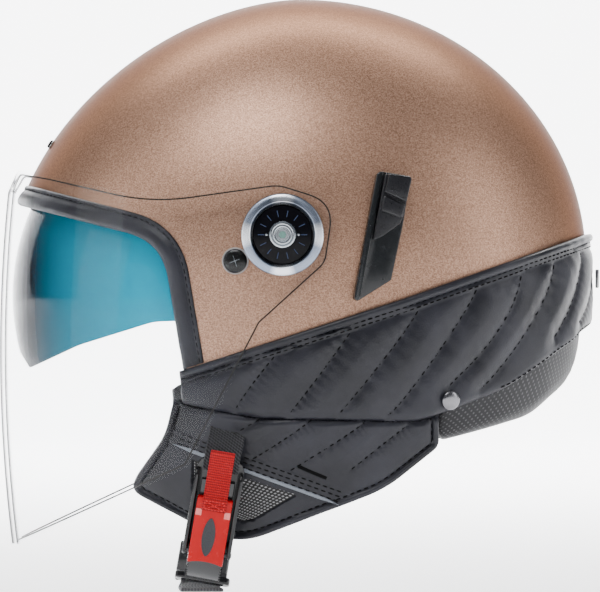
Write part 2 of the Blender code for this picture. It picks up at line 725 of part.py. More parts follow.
def make_sun_hinge(label, side):
    plate_in = SUN_HALF_WIDTH + 0.0006
    plate_out = plate_in + PLATE_THICKNESS
    corners = ((-0.0090, -PLATE_HALF_HEIGHT, 0), (PLATE_REACH, -PLATE_HALF_HEIGHT, 0),
               (PLATE_REACH, PLATE_HALF_HEIGHT, 0), (-0.0090, PLATE_HALF_HEIGHT, 0))
    outline = [(SUN_X + x, SUN_Z + z) for x, z, _ in corners]
    low, high = sorted((side * plate_in, side * plate_out))
    plate = prism("sun_hinge_plate_" + label, outline, low, high)
    plate.hide_render = False
    plate.display_type = "TEXTURED"
    cut(plate, circle_prism("plate_hole_" + label, SUN_X, SUN_Z, PIN_RADIUS + GAP, -FAR, FAR, 16))
    finish(plate, (0.05, 0.05, 0.05), 0.5)
    head = SUN_HALF_WIDTH - SUN_WALL - 0.0006
    place = frame_at((SUN_X, side * head, SUN_Z), (0, side, 0))
    pin = ((0, plate_out - head + 0.0010), (PIN_RADIUS, plate_out - head + 0.0010), (PIN_RADIUS, 0),
           (PIN_HEAD_RADIUS, 0), (PIN_HEAD_RADIUS, -PIN_HEAD_HEIGHT), (0, -PIN_HEAD_HEIGHT))
    finish(turned("sun_hinge_pin_" + label, pin, place, 16), (0.6, 0.6, 0.6), 0.3, 1)
    grown = [(x + math.copysign(0.0006, x - SUN_X - 0.008), z + math.copysign(0.0006, z - SUN_Z))
             for x, z in outline]
    low, high = sorted((side * (plate_in - 0.0006), side * FAR))
    recess = prism("plate_recess_" + label, grown, low, high)
    low, high = sorted((side * (head - PIN_HEAD_HEIGHT - 0.001), side * FAR))
    return recess, circle_prism("hub_recess_" + label, SUN_X, SUN_Z, HUB_RADIUS + 0.002, low, high, 20)


# Slider that lowers the sun visor.
def slider_place():
    point = on_layer(SLIDER_X, SLIDER_Z, 0, LEFT)
    up = Vector((math.sin(SLIDER_LEAN), 0, math.cos(SLIDER_LEAN)))
    out = outward(SLIDER_X, SLIDER_Z, 0, LEFT)
    return frame_at(point, out, up)


def slider_cutters(place):
    wide = STEM_HALF_WIDTH + SLOT_CLEAR
    low = STEM_LOW - SLIDER_TRAVEL - SLOT_CLEAR
    high = STEM_HIGH + SLOT_CLEAR
    slot = guide(box("slider_slot", (-wide, low, -0.012), (wide, high, 0.012), place))
    reach = SHOE_HALF_WIDTH + 0.001
    pocket_low = STEM_LOW - SLIDER_TRAVEL - 0.005
    pocket = guide(box("shoe_pocket", (-reach, pocket_low, -0.0115), (reach, STEM_HIGH + 0.003, 0.004), place))
    return slot, pocket


def make_slider(place, slot, shell_core):
    base = extruded("slider_base", BASE_PLATE, -0.006, PLATE_OUT, place)
    finish(cut(base, shell_core, slot), (0.02, 0.02, 0.02), 0.35)
    knob_low = PLATE_OUT + GAP
    knob = extruded("slider_knob", KNOB_FACE, knob_low, knob_low + KNOB_HEIGHT, place)
    stem = box("slider_stem", (-STEM_HALF_WIDTH, STEM_LOW, -SHOE_DEPTH), (STEM_HALF_WIDTH, STEM_HIGH,
               knob_low + 0.001), place)
    finish(boolean(knob, stem, "UNION"), (0.02, 0.02, 0.02), 0.3)
    shoe_top = -SHOE_DEPTH - GAP
    shoe = box("slider_shoe", (-SHOE_HALF_WIDTH, STEM_LOW - 0.002, shoe_top - SHOE_THICKNESS),
               (SHOE_HALF_WIDTH, STEM_HIGH + 0.001, shoe_top), place)
    finish(shoe, (0.05, 0.05, 0.05), 0.5)


def make_cable():
    route = [on_layer(x, z, CABLE_DEPTH, LEFT) for x, z in CABLE_ROUTE]
    finish(tube("drive_cable", route, CABLE_RADIUS, 8), (0.02, 0.02, 0.02), 0.4)
    return guide(tube("cable_groove", route, CABLE_RADIUS + 0.0012, 8))


# Fittings.
def make_snap_stud(label, side):
    point = on_layer(STUD_X, STUD_Z, -GAP - APRON_THICKNESS, side)
    place = frame_at(point, outward(STUD_X, STUD_Z, 0, side))
    profile = ((0, STUD_HEIGHT), (STUD_RADIUS * 0.6, STUD_HEIGHT), (STUD_RADIUS, STUD_HEIGHT * 0.5),
               (STUD_RADIUS, GAP), (POST_RADIUS, GAP), (POST_RADIUS, -POST_LENGTH), (0, -POST_LENGTH))
    finish(turned("snap_stud_" + label, profile, place, 20), (0.45, 0.45, 0.45), 0.3, 1)
    return guide(turned("stud_hole_" + label, disc_profile(POST_RADIUS + GAP, -0.01, 0.004), place, 12))


def make_rear_tag():
    depth = -GAP - APRON_THICKNESS
    start = SHELL_REAR - depth + GAP
    place = Matrix.Translation((start, 0, -0.0080))
    tag = box("rear_tag", (0, -TAG_HALF_WIDTH, -TAG_HALF_HEIGHT), (TAG_THICKNESS, TAG_HALF_WIDTH,
              TAG_HALF_HEIGHT), place)
    return finish(tag, (0.3, 0.3, 0.32), 0.5)


def make_brow_badge():
    line = ((-FAR, BADGE_Z - BADGE_HALF_HEIGHT), (0, BADGE_Z - BADGE_HALF_HEIGHT),
            (0, BADGE_Z + BADGE_HALF_HEIGHT), (-FAR, BADGE_Z + BADGE_HALF_HEIGHT))
    badge = layer("brow_badge", -GAP - BADGE_THICKNESS, -GAP, line, -BADGE_HALF_WIDTH, BADGE_HALF_WIDTH)
    return finish(badge, (0.02, 0.02, 0.02), 0.3)


# Chin strap and buckle.
def buckle_place():
    """Local Y runs down the buckle, local X across it and local Z out of it."""
    point = on_layer(BUCKLE_X, BUCKLE_Z, -BUCKLE_OUT, LEFT)
    down = Vector((-BUCKLE_SIDE_LEAN, BUCKLE_IN_LEAN, -1)).normalized()
    out = Vector((0, -1, 0))
    out = (out - down * out.dot(down)).normalized()
    across = down.cross(out)
    return Matrix.Translation(point) @ Matrix((across, down, out)).transposed().to_4x4()


def strap_out():
    """How far outside the shell's surface the straps' middle lies, over the flap and its piping."""
    return FLAP_OUTER + GAP + 2 * PIPING_RADIUS + STRAP_THICKNESS / 2 + STRAP_LIFT


def strap_across(side):
    """The straps' width direction: the buckle's own on the left, along the flap on the right."""
    if side == LEFT:
        return buckle_place().to_3x3() @ Vector((1, 0, 0))
    step = STRAP_WIDTH / 2
    x = BUCKLE_X
    return on_layer(x + step, SLOT_BOTTOM, 0, side) - on_layer(x - step, SLOT_BOTTOM, 0, side)


def strap_top(side):
    """From the anchor inside the shell, out through the slot and down over the flap."""
    lean = BUCKLE_SIDE_LEAN
    spots = ((ANCHOR_Z - 0.001, STRAP_DEPTH), (SLOT_TOP, STRAP_DEPTH), (SLOT_BOTTOM, -strap_out()))
    return [on_layer(ANCHOR_X + lean * (z - ANCHOR_Z), z, depth, side) for z, depth in spots]


def make_strap_anchor(label, side):
    point = on_layer(ANCHOR_X, ANCHOR_Z + 0.0040, STRAP_DEPTH, side)
    place = frame_at(point, outward(ANCHOR_X, ANCHOR_Z, 0, side))
    anchor = box("strap_anchor_" + label, (-0.008, -0.0025, -0.0012), (0.008, 0.0015, 0.0010), place)
    return finish(anchor, (0.6, 0.6, 0.6), 0.35, 1)


def strap_slot(label, side):
    route = strap_top(side)
    grown = [route[0] + (route[0] - route[1]).normalized() * 0.004] + route[1:]
    grown.append(route[-1] + (route[-1] - route[-2]).normalized() * 0.006)
    return guide(band("strap_slot_" + label, grown, STRAP_WIDTH + 0.002, STRAP_THICKNESS + 0.0016,
                      strap_across(side)))


def make_chin_straps(place):
    left = strap_top(LEFT) + [place @ Vector((0, y, 0.0038)) for y in (-0.003, 0.006)]
    finish(band("chin_strap_left", left, STRAP_WIDTH - 0.003, STRAP_THICKNESS, strap_across(LEFT)),
           (0.02, 0.02, 0.02), 0.8)
    right = strap_top(RIGHT)
    for z in (-0.098, -0.113, -0.127):
        right.append(on_layer(ANCHOR_X + BUCKLE_SIDE_LEAN * (z - ANCHOR_Z), z, -strap_out(), RIGHT))
    finish(band("chin_strap_right", right, STRAP_WIDTH, STRAP_THICKNESS, strap_across(RIGHT)),
           (0.02, 0.02, 0.02), 0.8)
    end = right[-1]
    lock = place @ lock_point()
    start = end + (end - right[-2]).normalized() * 0.0010
    low = lock.z - 0.0055
    route = [start, Vector((-0.0455, start.y - 0.0060, -0.1380)), Vector((-0.0470, start.y - 0.0180, -0.1490)),
             Vector((-0.0480, start.y - 0.0420, low)), Vector((-0.0485, 0, low - 0.0005)),
             Vector((lock.x - 0.001, lock.y + 0.012, low)), Vector((lock.x, lock.y + 0.001, low))]
    finish(band("chin_strap_lower", route, STRAP_WIDTH, STRAP_THICKNESS, (1, 0, 0)), (0.02, 0.02, 0.02), 0.8)
    lift = STRAP_THICKNESS / 2 + PAD_THICKNESS / 2 + 0.0006
    inner = [route[1] + Vector((0, -lift, lift * 0.4)), route[2] + Vector((0, -lift * 0.6, lift * 0.9)),
             route[3] + Vector((0, 0, lift))]
    finish(band("strap_pad", inner, PAD_WIDTH, PAD_THICKNESS, (1, 0, 0)), (0.05, 0.05, 0.055), 0.8)


def ratchet_route():
    """The toothed strap's middle line, as local (along, out) pairs."""
    line = [(0.0110, RATCHET_OUT), (BODY_LENGTH + 0.001, RATCHET_OUT)]
    for k in range(1, 7):
        turn = RATCHET_TURN * k / 6
        line.append((BODY_LENGTH + 0.001 + RATCHET_BEND * math.sin(turn),
                     RATCHET_OUT - RATCHET_BEND * (1 - math.cos(turn))))
    return line


def lock_point():
    along, out = ratchet_route()[-1]
    reach = GAP + LOCK_LENGTH / 2
    return Vector((0, along + reach * math.cos(RATCHET_TURN), out - reach * math.sin(RATCHET_TURN)))


def make_buckle(place):
    half = BODY_WIDTH / 2
    floor = ((-half, 0), (half, 0), (half, BODY_SIDE), (half - BODY_WALL, BODY_SIDE),
             (half - BODY_WALL, BODY_FLOOR), (-half + BODY_WALL, BODY_FLOOR),
             (-half + BODY_WALL, BODY_SIDE), (-half, BODY_SIDE))
    turn = place @ Matrix.Rotation(math.pi / 2, 4, "X")
    body = extruded("buckle_body", floor, -BODY_LENGTH, 0, turn)
    hole = LEVER_PIN_RADIUS + PIN_CLEAR
    cross = place @ Matrix.Translation((0, LEVER_PIN_ALONG, LEVER_PIN_OUT)) @ Matrix.Rotation(math.pi / 2, 4, "Y")
    hole_cutter = guide(turned("lever_pin_hole", disc_profile(hole, -0.02, 0.02), cross, 16))
    finish(cut(body, hole_cutter), (0.015, 0.015, 0.015), 0.25)
    pin = disc_profile(LEVER_PIN_RADIUS, -half - 0.0003, half + 0.0003)
    finish(turned("lever_pin", pin, cross, 12), (0.6, 0.6, 0.6), 0.3, 1)
    side = ((LEVER_TOP, 0.0050), (0.0360, 0.0050), (0.0390, 0.0046), (0.0410, 0.0046), (0.0440, 0.0050),
            (0.0465, 0.0052), (LEVER_END, 0.0074), (LEVER_END, 0.0092), (0.0470, 0.0104), (0.0300, 0.0096),
            (LEVER_TOP, 0.0082))
    wide = LEVER_WIDTH / 2
    lever = extruded("buckle_lever", side, -wide, wide, place, "yz")
    notch = guide(box("lever_notch", (-0.0022, 0.0418, 0.002), (0.0022, 0.060, 0.0097), place))
    lever_origin = place @ Vector((0, LEVER_PIN_ALONG, LEVER_PIN_OUT))
    cut(lever, hole_cutter, notch)
    place_origin(lever, lever_origin)
    finish(lever, (0.75, 0.02, 0.02), 0.3)
    coil = ring_profile(COIL_RADIUS, hole, -0.0016, 0.0016)
    finish(turned("lever_spring", coil, cross, 12), (0.6, 0.6, 0.6), 0.3, 1)
    tab_side = ((-0.0040, 0.0075), (0.0060, 0.0062), (0.0180, 0.0058), (0.0180, 0.0080), (0.0060, 0.0084),
                (-0.0040, 0.0097))
    tab = extruded("pull_tab", tab_side, -TAB_WIDTH / 2, TAB_WIDTH / 2, place, "yz")
    place_origin(tab, lever_origin)
    finish(tab, (0.75, 0.02, 0.02), 0.7)
    route = [place @ Vector((0, a, b)) for a, b in ratchet_route()]
    across = place.to_3x3() @ Vector((1, 0, 0))
    finish(band("ratchet_strap", route, RATCHET_WIDTH, RATCHET_THICKNESS, across), (0.015, 0.015, 0.015), 0.25)
    swing = Matrix.Rotation(-RATCHET_TURN, 4, "X")
    spot = place @ Matrix.Translation(lock_point()) @ swing
    lock = box("ladder_lock", (-LOCK_WIDTH / 2, -LOCK_LENGTH / 2, -LOCK_THICKNESS / 2),
               (LOCK_WIDTH / 2, LOCK_LENGTH / 2, LOCK_THICKNESS / 2), spot)
    window = guide(box("lock_window", (-0.0100, -0.0035, -0.01), (0.0100, 0.0005, 0.01), spot))
    finish(cut(lock, window), (0.015, 0.015, 0.015), 0.3)


def build():
    clear_scene()
    shell_core = guide(dome("shell_core", -GAP))
    place = slider_place()
    slot, pocket = slider_cutters(place)
    bolt_hole = circle_prism("bolt_holes", PIVOT_X, PIVOT_Z, BOLT_RADIUS + GAP, -FAR, FAR, 16)
    ear_low = -EAR_FLOOR
    hollows = [circle_prism("ear_pockets", EAR_X, EAR_Z, EAR_RADIUS, ear_low, EAR_FLOOR), sun_pocket(), pocket]
    screw_holes = []
    stud_holes = []
    slots = {}
    for label, side in SIDES:
        nut_low, nut_high = sorted((side * (half_width(PIVOT_X, PIVOT_Z) - BOLT_LENGTH), side * FAR))
        hollows.append(circle_prism("nut_pocket_" + label, PIVOT_X, PIVOT_Z, 0.009, nut_low, nut_high, 20))
        screw_holes.append(make_side_screw(label, side))
        stud_holes.append(make_snap_stud(label, side))
        hollows.extend(make_sun_hinge(label, side))
        slots[label] = strap_slot(label, side)
        make_pivot(label, side, shell_core)
        make_cheek_pad(label, side)
        make_ear_flap(label, side, slots[label])
        make_mesh_panel(label, side)
        make_piping(label, side)
        make_strap_anchor(label, side)
    hollows.append(make_cable())
    make_shell([bolt_hole, slot] + screw_holes)
    make_trim()
    make_apron(stud_holes)
    make_liner(hollows + screw_holes)
    make_crown_pad()
    make_neck_roll()
    make_visor()
    make_sun_visor()
    make_slider(place, slot, shell_core)
    make_rear_tag()
    make_brow_badge()
    buckle = buckle_place()
    make_buckle(buckle)
    make_chin_straps(buckle)


build()
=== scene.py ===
import math

import bmesh
import bpy
import numpy as np
from mathutils import Matrix, Vector


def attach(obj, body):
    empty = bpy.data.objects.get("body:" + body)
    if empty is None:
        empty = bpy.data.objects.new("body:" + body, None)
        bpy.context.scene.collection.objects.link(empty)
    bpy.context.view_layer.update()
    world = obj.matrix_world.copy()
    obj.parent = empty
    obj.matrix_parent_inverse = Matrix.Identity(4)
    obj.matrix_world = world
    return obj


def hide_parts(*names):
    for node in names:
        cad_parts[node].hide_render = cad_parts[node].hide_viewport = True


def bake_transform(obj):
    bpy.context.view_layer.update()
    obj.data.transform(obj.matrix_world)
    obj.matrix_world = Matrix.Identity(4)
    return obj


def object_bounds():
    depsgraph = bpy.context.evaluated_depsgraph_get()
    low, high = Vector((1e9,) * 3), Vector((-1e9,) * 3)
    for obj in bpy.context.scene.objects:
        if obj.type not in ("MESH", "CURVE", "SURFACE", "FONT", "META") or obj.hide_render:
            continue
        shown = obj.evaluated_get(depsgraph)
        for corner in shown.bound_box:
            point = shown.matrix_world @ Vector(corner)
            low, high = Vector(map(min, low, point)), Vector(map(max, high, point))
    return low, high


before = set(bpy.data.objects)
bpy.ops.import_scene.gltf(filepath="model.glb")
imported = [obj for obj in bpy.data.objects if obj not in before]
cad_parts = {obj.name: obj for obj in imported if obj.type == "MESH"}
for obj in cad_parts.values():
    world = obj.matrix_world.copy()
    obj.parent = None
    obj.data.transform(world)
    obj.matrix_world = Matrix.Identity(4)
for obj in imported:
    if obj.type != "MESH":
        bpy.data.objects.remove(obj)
cad_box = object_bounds()

# ---------------------------------------------------------------------------
# Studio. A pale sweep of paper runs under the helmet and up behind it. A large
# soft box hangs above, weaker ones stand before and behind, and one lamp lights
# the paper's wall.
CAMERA_DISTANCE = 6.0
VIEW_WIDTH = 0.288
VIEW_MIDDLE_Z = -0.0163

bpy.ops.object.select_all(action="DESELECT")
bpy.ops.object.camera_add(location=(0, -CAMERA_DISTANCE, VIEW_MIDDLE_Z), rotation=(math.pi / 2, 0, 0))
camera = bpy.context.object
camera.name = "studio_camera"
camera.data.lens = camera.data.sensor_width * CAMERA_DISTANCE / VIEW_WIDTH
camera.data.clip_end = 60
bpy.context.scene.camera = camera

bpy.ops.mesh.primitive_plane_add(size=24, location=(0, 0, cad_box[0][2] - 0.016))
backdrop = bpy.context.object
backdrop.name = "backdrop"
bpy.ops.object.mode_set(mode="EDIT")
bpy.ops.mesh.select_all(action="DESELECT")
bpy.ops.object.mode_set(mode="OBJECT")
for edge in backdrop.data.edges:
    edge.select = all(backdrop.data.vertices[v].co.y > 11.9 for v in edge.vertices)
bpy.ops.object.mode_set(mode="EDIT")
bpy.ops.mesh.extrude_region_move(TRANSFORM_OT_translate={"value": (0, 0, 12)})
bpy.ops.mesh.select_all(action="DESELECT")
bpy.ops.object.mode_set(mode="OBJECT")
for edge in backdrop.data.edges:
    ends = [backdrop.data.vertices[v].co for v in edge.vertices]
    edge.select = all(e.y > 11.9 and abs(e.z) < 0.01 for e in ends)
bpy.ops.object.mode_set(mode="EDIT")
bpy.ops.mesh.bevel(offset=4.0, segments=16)
bpy.ops.object.mode_set(mode="OBJECT")
bpy.ops.object.transform_apply(location=True)
bpy.ops.object.shade_smooth()
paper = bpy.data.materials.new("pale_paper")
paper.use_nodes = True
paper_shader = paper.node_tree.nodes["Principled BSDF"]
for socket, value in (("Base Color", (0.93, 0.93, 0.94, 1)), ("Roughness", 0.9),
                      ("Emission Color", (1, 1, 1, 1)), ("Emission Strength", 0.9)):
    paper_shader.inputs[socket].default_value = value
backdrop.data.materials.append(paper)


def soft_box(name, place, aim, size, watts):
    bpy.ops.object.light_add(type="AREA", location=place)
    lamp = bpy.context.object
    lamp.name = name
    lamp.data.shape = "RECTANGLE"
    lamp.data.size, lamp.data.size_y = size
    lamp.data.energy = watts
    lamp.rotation_euler = (Vector(aim) - Vector(place)).to_track_quat("-Z", "Y").to_euler()
    return lamp


soft_box("top_box", (-0.5, -0.9, 1.5), (0, 0, 0.03), (1.2, 0.9), 27)
soft_box("front_box", (-2.2, -0.7, 0.7), (0, 0, 0), (1.2, 1.6), 14)
soft_box("rear_box", (1.5, -0.5, 0.5), (0, 0, 0), (0.6, 1.2), 8)
soft_box("paper_light", (0, 4.5, 6.5), (0, 10.5, 0.8), (8.0, 4.0), 4500)

sky = bpy.data.worlds.new("studio_air")
sky.use_nodes = True
sky.node_tree.nodes["Background"].inputs["Color"].default_value = (0.92, 0.94, 1.0, 1)
sky.node_tree.nodes["Background"].inputs["Strength"].default_value = 0.24
bpy.context.scene.world = sky

# ---------------------------------------------------------------------------
# Outer shell. A moulded shell 3 mm thick, painted satin copper with fine metal
# flake under a matt lacquer. It is cut away at the face and under the apron,
# and slotted for the slider.
SHELL_FRONT = 0.1396
SHELL_REAR = 0.1373
SHELL_TOP = 0.1260
SHELL_DROP = 0.2000
SHELL_HALF_WIDTH = 0.1180
SIDE_POWER = 2.1
SHELL_WALL = 0.003
LEFT = -1
RIGHT = 1
SIDES = (("left", LEFT), ("right", RIGHT))


def shell_size(at, lift):
    """How many times further out than the helmet's rounded surface each point lies."""
    x, y, z = at[..., 0], at[..., 1], at[..., 2]
    reach = np.where(x < 0, SHELL_FRONT, SHELL_REAR) + lift
    height = np.where(z > 0, SHELL_TOP, SHELL_DROP) + lift
    power = np.where(x < 0, 1.77, 2.0)
    side = ((np.abs(x) / reach) ** power + (np.abs(z) / height) ** power) ** (1 / power)
    return (side**SIDE_POWER + (np.abs(y) / (SHELL_HALF_WIDTH + lift)) ** SIDE_POWER) ** (1 / SIDE_POWER)


def on_surface(aim, lift=0.0):
    """The points where lines from the middle of the helmet meet its surface, raised by lift."""
    aim = np.asarray(aim, float)
    return aim / shell_size(aim, lift)[..., None]


def beside(x, z, side, lift=0.0):
    """The point of the surface that lies at x and z on one side."""
    x, z, lift = np.broadcast_arrays(np.asarray(x, float), np.asarray(z, float), np.asarray(lift, float))
    flat = np.stack([x, np.zeros_like(x), z], -1)
    inside = np.clip(1 - shell_size(flat, lift) ** SIDE_POWER, 0, None) ** (1 / SIDE_POWER)
    flat[..., 1] = side * inside * (SHELL_HALF_WIDTH + lift)
    return flat


def outwards(at):
    """The surface's outward directions at points on it."""
    slope = np.zeros_like(at)
    for axis in range(3):
        step = np.zeros(3)
        step[axis] = 0.0004
        slope[..., axis] = shell_size(at + step, 0.0) - shell_size(at - step, 0.0)
    return slope / np.linalg.norm(slope, axis=-1, keepdims=True)


def smooth_line(corners, steps=10):
    """A line of (x, z) points through the corners, each corner rounded by its own radius."""
    line = []
    for i, (x, z, radius) in enumerate(corners):
        if radius == 0 or i in (0, len(corners) - 1):
            line.append((x, z))
            continue
        here = Vector((x, z))
        back = Vector(corners[i - 1][:2]) - here
        ahead = Vector(corners[i + 1][:2]) - here
        reach = min(radius / math.tan(back.angle(ahead) / 2), 0.48 * back.length, 0.48 * ahead.length)
        start = here + back.normalized() * reach
        end = here + ahead.normalized() * reach
        for k in range(steps + 1):
            t = k / steps
            line.append(tuple(start * (1 - t) ** 2 + here * 2 * t * (1 - t) + end * t * t))
    return np.array(line)


def even(line, count):
    """The same line with evenly spaced points."""
    line = np.asarray(line, float)
    run = np.concatenate([[0], np.cumsum(np.linalg.norm(np.diff(line, axis=0), axis=1))])
    at = np.linspace(0, run[-1], count)
    return np.stack([np.interp(at, run, line[:, k]) for k in range(line.shape[1])], -1)


def beside_line(line, distance):
    """The (x, z) line moved sideways, to the left of its direction for a positive distance."""
    line = np.asarray(line, float)
    run = np.gradient(line, axis=0)
    run /= np.linalg.norm(run, axis=1, keepdims=True)
    return line + distance * np.stack([-run[:, 1], run[:, 0]], -1)


FACE_EDGE = smooth_line(((-0.160, 0.0337, 0), (-0.0653, 0.0091, 0.026), (-0.0550, -0.0520, 0.03),
                         (-0.0550, -0.0900, 0)))
HEM = smooth_line(((-0.0800, -0.0620, 0), (-0.0200, -0.0735, 0.05), (0.0560, -0.0752, 0.03),
                   (0.0960, -0.0600, 0.05), (0.1248, -0.0398, 0.05), (0.1700, -0.0020, 0)))


def only(obj):
    """Selects one object and makes it the active one."""
    bpy.ops.object.select_all(action="DESELECT")
    obj.select_set(True)
    bpy.context.view_layer.objects.active = obj
    return obj


def edit_whole():
    """Opens the active piece's mesh with all of it selected."""
    bpy.ops.object.mode_set(mode="EDIT")
    bpy.ops.mesh.select_all(action="SELECT")


def edit_done():
    """Closes the active piece's mesh."""
    bpy.ops.object.mode_set(mode="OBJECT")


def apply_all(obj):
    only(obj)
    for modifier in list(obj.modifiers):
        bpy.ops.object.modifier_apply(modifier=modifier.name)
    return obj


def add_modifier(obj, kind, **values):
    modifier = obj.modifiers.new(kind.lower(), kind)
    for key, value in values.items():
        setattr(modifier, key, value)
    return modifier


def trim_with(obj, cutter, operation):
    """Cuts a piece with another solid, which is then thrown away."""
    add_modifier(obj, "BOOLEAN", operation=operation, solver="EXACT", object=cutter)
    apply_all(obj)
    bpy.data.objects.remove(cutter)
    return obj


def side_prism(name, line, low=-0.2, high=0.2):
    """A closed (x, z) outline drawn out across the helmet."""
    bpy.ops.object.select_all(action="DESELECT")
    bpy.ops.mesh.primitive_circle_add(vertices=len(line), fill_type="NGON", rotation=(math.pi / 2, 0, 0))
    obj = bpy.context.object
    obj.name = name
    bpy.ops.object.transform_apply(rotation=True)
    for vertex, (x, z) in zip(obj.data.vertices, line):
        vertex.co = (x, low, z)
    edit_whole()
    bpy.ops.mesh.extrude_region_move(TRANSFORM_OT_translate={"value": (0, high - low, 0)})
    bpy.ops.mesh.select_all(action="SELECT")
    bpy.ops.mesh.normals_make_consistent(inside=False)
    edit_done()
    return obj


def round_body(name, lift, cuts):
    """A cube with many cuts, blown up onto the helmet's rounded surface."""
    bpy.ops.object.select_all(action="DESELECT")
    bpy.ops.mesh.primitive_cube_add(size=0.2)
    obj = bpy.context.object
    obj.name = name
    edit_whole()
    bpy.ops.mesh.subdivide(number_cuts=cuts)
    edit_done()
    at = np.array([v.co[:] for v in obj.data.vertices]) / 0.1
    at = np.tan(at * math.pi / 4)
    obj.data.vertices.foreach_set("co", on_surface(at, lift).ravel())
    return obj


def select_faces(obj, wanted):
    """Goes into edit mode with only the faces selected for which wanted(centre, normal) is true."""
    only(obj)
    bpy.ops.object.mode_set(mode="EDIT")
    bpy.ops.mesh.select_mode(type="FACE")
    bpy.ops.mesh.select_all(action="DESELECT")
    edit_done()
    for face in obj.data.polygons:
        face.select = bool(wanted(face.center, face.normal))
    bpy.ops.object.mode_set(mode="EDIT")
    return obj


def keep_faces(obj, wanted):
    """Deletes the faces for which wanted(centre, normal) is false."""
    select_faces(obj, lambda centre, normal: not wanted(centre, normal))
    bpy.ops.mesh.delete(type="FACE")
    edit_done()
    return obj


def tidy(obj, angle=35):
    """Merges doubles, turns the faces outwards and shades the piece smooth."""
    only(obj)
    edit_whole()
    bpy.ops.mesh.remove_doubles(threshold=1e-6)
    bpy.ops.mesh.normals_make_consistent(inside=False)
    edit_done()
    bpy.ops.object.shade_smooth_by_angle(angle=math.radians(angle))
    return obj


def belongs(obj, body, slot, *nodes):
    """Lets a piece ride on a body and stand for CAD nodes; its slot is not used."""
    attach(obj, body)
    if nodes:
        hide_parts(*nodes)
    return obj


def inside_line(front_edge, hem_drop):
    """Everything behind the face opening and above the hem, as a closed outline."""
    front = beside_line(FACE_EDGE, front_edge)
    front = front[front[:, 1] > -0.056]
    low = beside_line(HEM, hem_drop)
    low = low[low[:, 0] > front[-1][0] + 0.002]
    return [(-0.2, 0.2), *map(tuple, front), *map(tuple, low), (0.2, low[-1][1]), (0.2, 0.2)]


shell = round_body("shell_painted", 0.0, 54)
trim_with(shell, side_prism("shell_outline", inside_line(0.0018, 0.004)), "INTERSECT")


def on_skin(centre, normal, lift=0.0):
    """Whether a face lies on the helmet's outer surface."""
    return abs(float(shell_size(np.array(centre), lift)) - 1) < 0.004


keep_faces(shell, on_skin)
add_modifier(shell, "SOLIDIFY", thickness=SHELL_WALL, offset=-1)
apply_all(shell)
tidy(shell, 30)


def new_finish(name, colour, roughness, metallic=0.0, coat=0.0, **more):
    """A material with its plain values on the shader's own sockets."""
    made = bpy.data.materials.new(name)
    made.use_nodes = True
    shader = made.node_tree.nodes["Principled BSDF"]
    shader.inputs["Base Color"].default_value = (*colour, 1)
    shader.inputs["Roughness"].default_value = roughness
    shader.inputs["Metallic"].default_value = metallic
    shader.inputs["Coat Weight"].default_value = coat
    for socket, value in more.items():
        shader.inputs[socket.replace("_", " ")].default_value = value
    return made


def node(material, kind, links=None, **values):
    """Adds a shader node, sets its options or inputs, and links others' outputs into it."""
    tree = getattr(material, "node_tree", material)
    made = tree.nodes.new("ShaderNode" + kind)
    for key, value in values.items():
        if hasattr(made, key) and key not in made.inputs:
            setattr(made, key, value)
        else:
            made.inputs[key.replace("_", " ")].default_value = value
    for key, source in (links or {}).items():
        tree.links.new(source, made.inputs[key])
    return made


def feed(material, socket, source):
    material.node_tree.links.new(source, material.node_tree.nodes["Principled BSDF"].inputs[socket])


def place_of(material, scale=(1, 1, 1), turn=(0, 0, 0)):
    """Object coordinates in metres, scaled and turned."""
    where = node(material, "TexCoord")
    moved = node(material, "Mapping", {"Vector": where.outputs["Object"]})
    moved.inputs["Scale"].default_value = scale
    moved.inputs["Rotation"].default_value = turn
    return moved.outputs["Vector"]


def blend_colours(material, amount, low, high):
    """A colour between two, by an amount from 0 to 1."""
    mix = node(material, "Mix", data_type="RGBA")
    material.node_tree.links.new(amount, mix.inputs["Factor"])
    mix.inputs["A"].default_value = (*low, 1)
    mix.inputs["B"].default_value = (*high, 1)
    return mix.outputs["Result"]


def spread(material, source, low, high, to_low=0.0, to_high=1.0):
    """Stretches a value from one range onto another."""
    made = node(material, "MapRange", {"Value": source})
    for key, value in (("From Min", low), ("From Max", high), ("To Min", to_low), ("To Max", to_high)):
        made.inputs[key].default_value = value
    return made.outputs["Result"]


def relief(material, height, depth, strength=1.0, under=None):
    """Turns a height from 0 to 1 into bumps that deep, in metres."""
    made = node(material, "Bump", {"Height": height}, Distance=depth, Strength=strength)
    if under is not None:
        material.node_tree.links.new(under, made.inputs["Normal"])
    return made.outputs["Normal"]


copper = new_finish("satin_copper_paint", (0.42, 0.23, 0.17), 0.40, 0.75, Specular_IOR_Level=0.15)
copper.node_tree.nodes["Principled BSDF"].inputs["Specular Tint"].default_value = (0.34, 0.25, 0.20, 1)
flake_at = place_of(copper, (1, 1, 1))
flakes = node(copper, "TexVoronoi", {"Vector": flake_at}, Scale=2600)
flake_turn = node(copper, "SeparateColor", {"Color": flakes.outputs["Color"]})
haze = node(copper, "TexNoise", {"Vector": flake_at}, Scale=5, Detail=2)
flake_tone = spread(copper, flake_turn.outputs["Red"], 0, 1, 0.0, 1.0)
paint = blend_colours(copper, flake_tone, (0.222, 0.124, 0.083), (0.50, 0.304, 0.210))
# Painted shade: where the shell turns away from the camera, the paint is mixed towards dark brown, which
# darkens its outline.
rim_shade_facing = node(copper, "LayerWeight", Blend=0.5)
painted_rim_shade = node(copper, "Mix", data_type="RGBA")
copper.node_tree.links.new(spread(copper, rim_shade_facing.outputs["Facing"], 0.35, 1.0, 0.0, 0.85),
                           painted_rim_shade.inputs["Factor"])
copper.node_tree.links.new(paint, painted_rim_shade.inputs["A"])
painted_rim_shade.inputs["B"].default_value = (0.070, 0.036, 0.025, 1)
feed(copper, "Base Color", painted_rim_shade.outputs["Result"])
feed(copper, "Roughness", spread(copper, haze.outputs["Fac"], 0.3, 0.7, 0.38, 0.44))
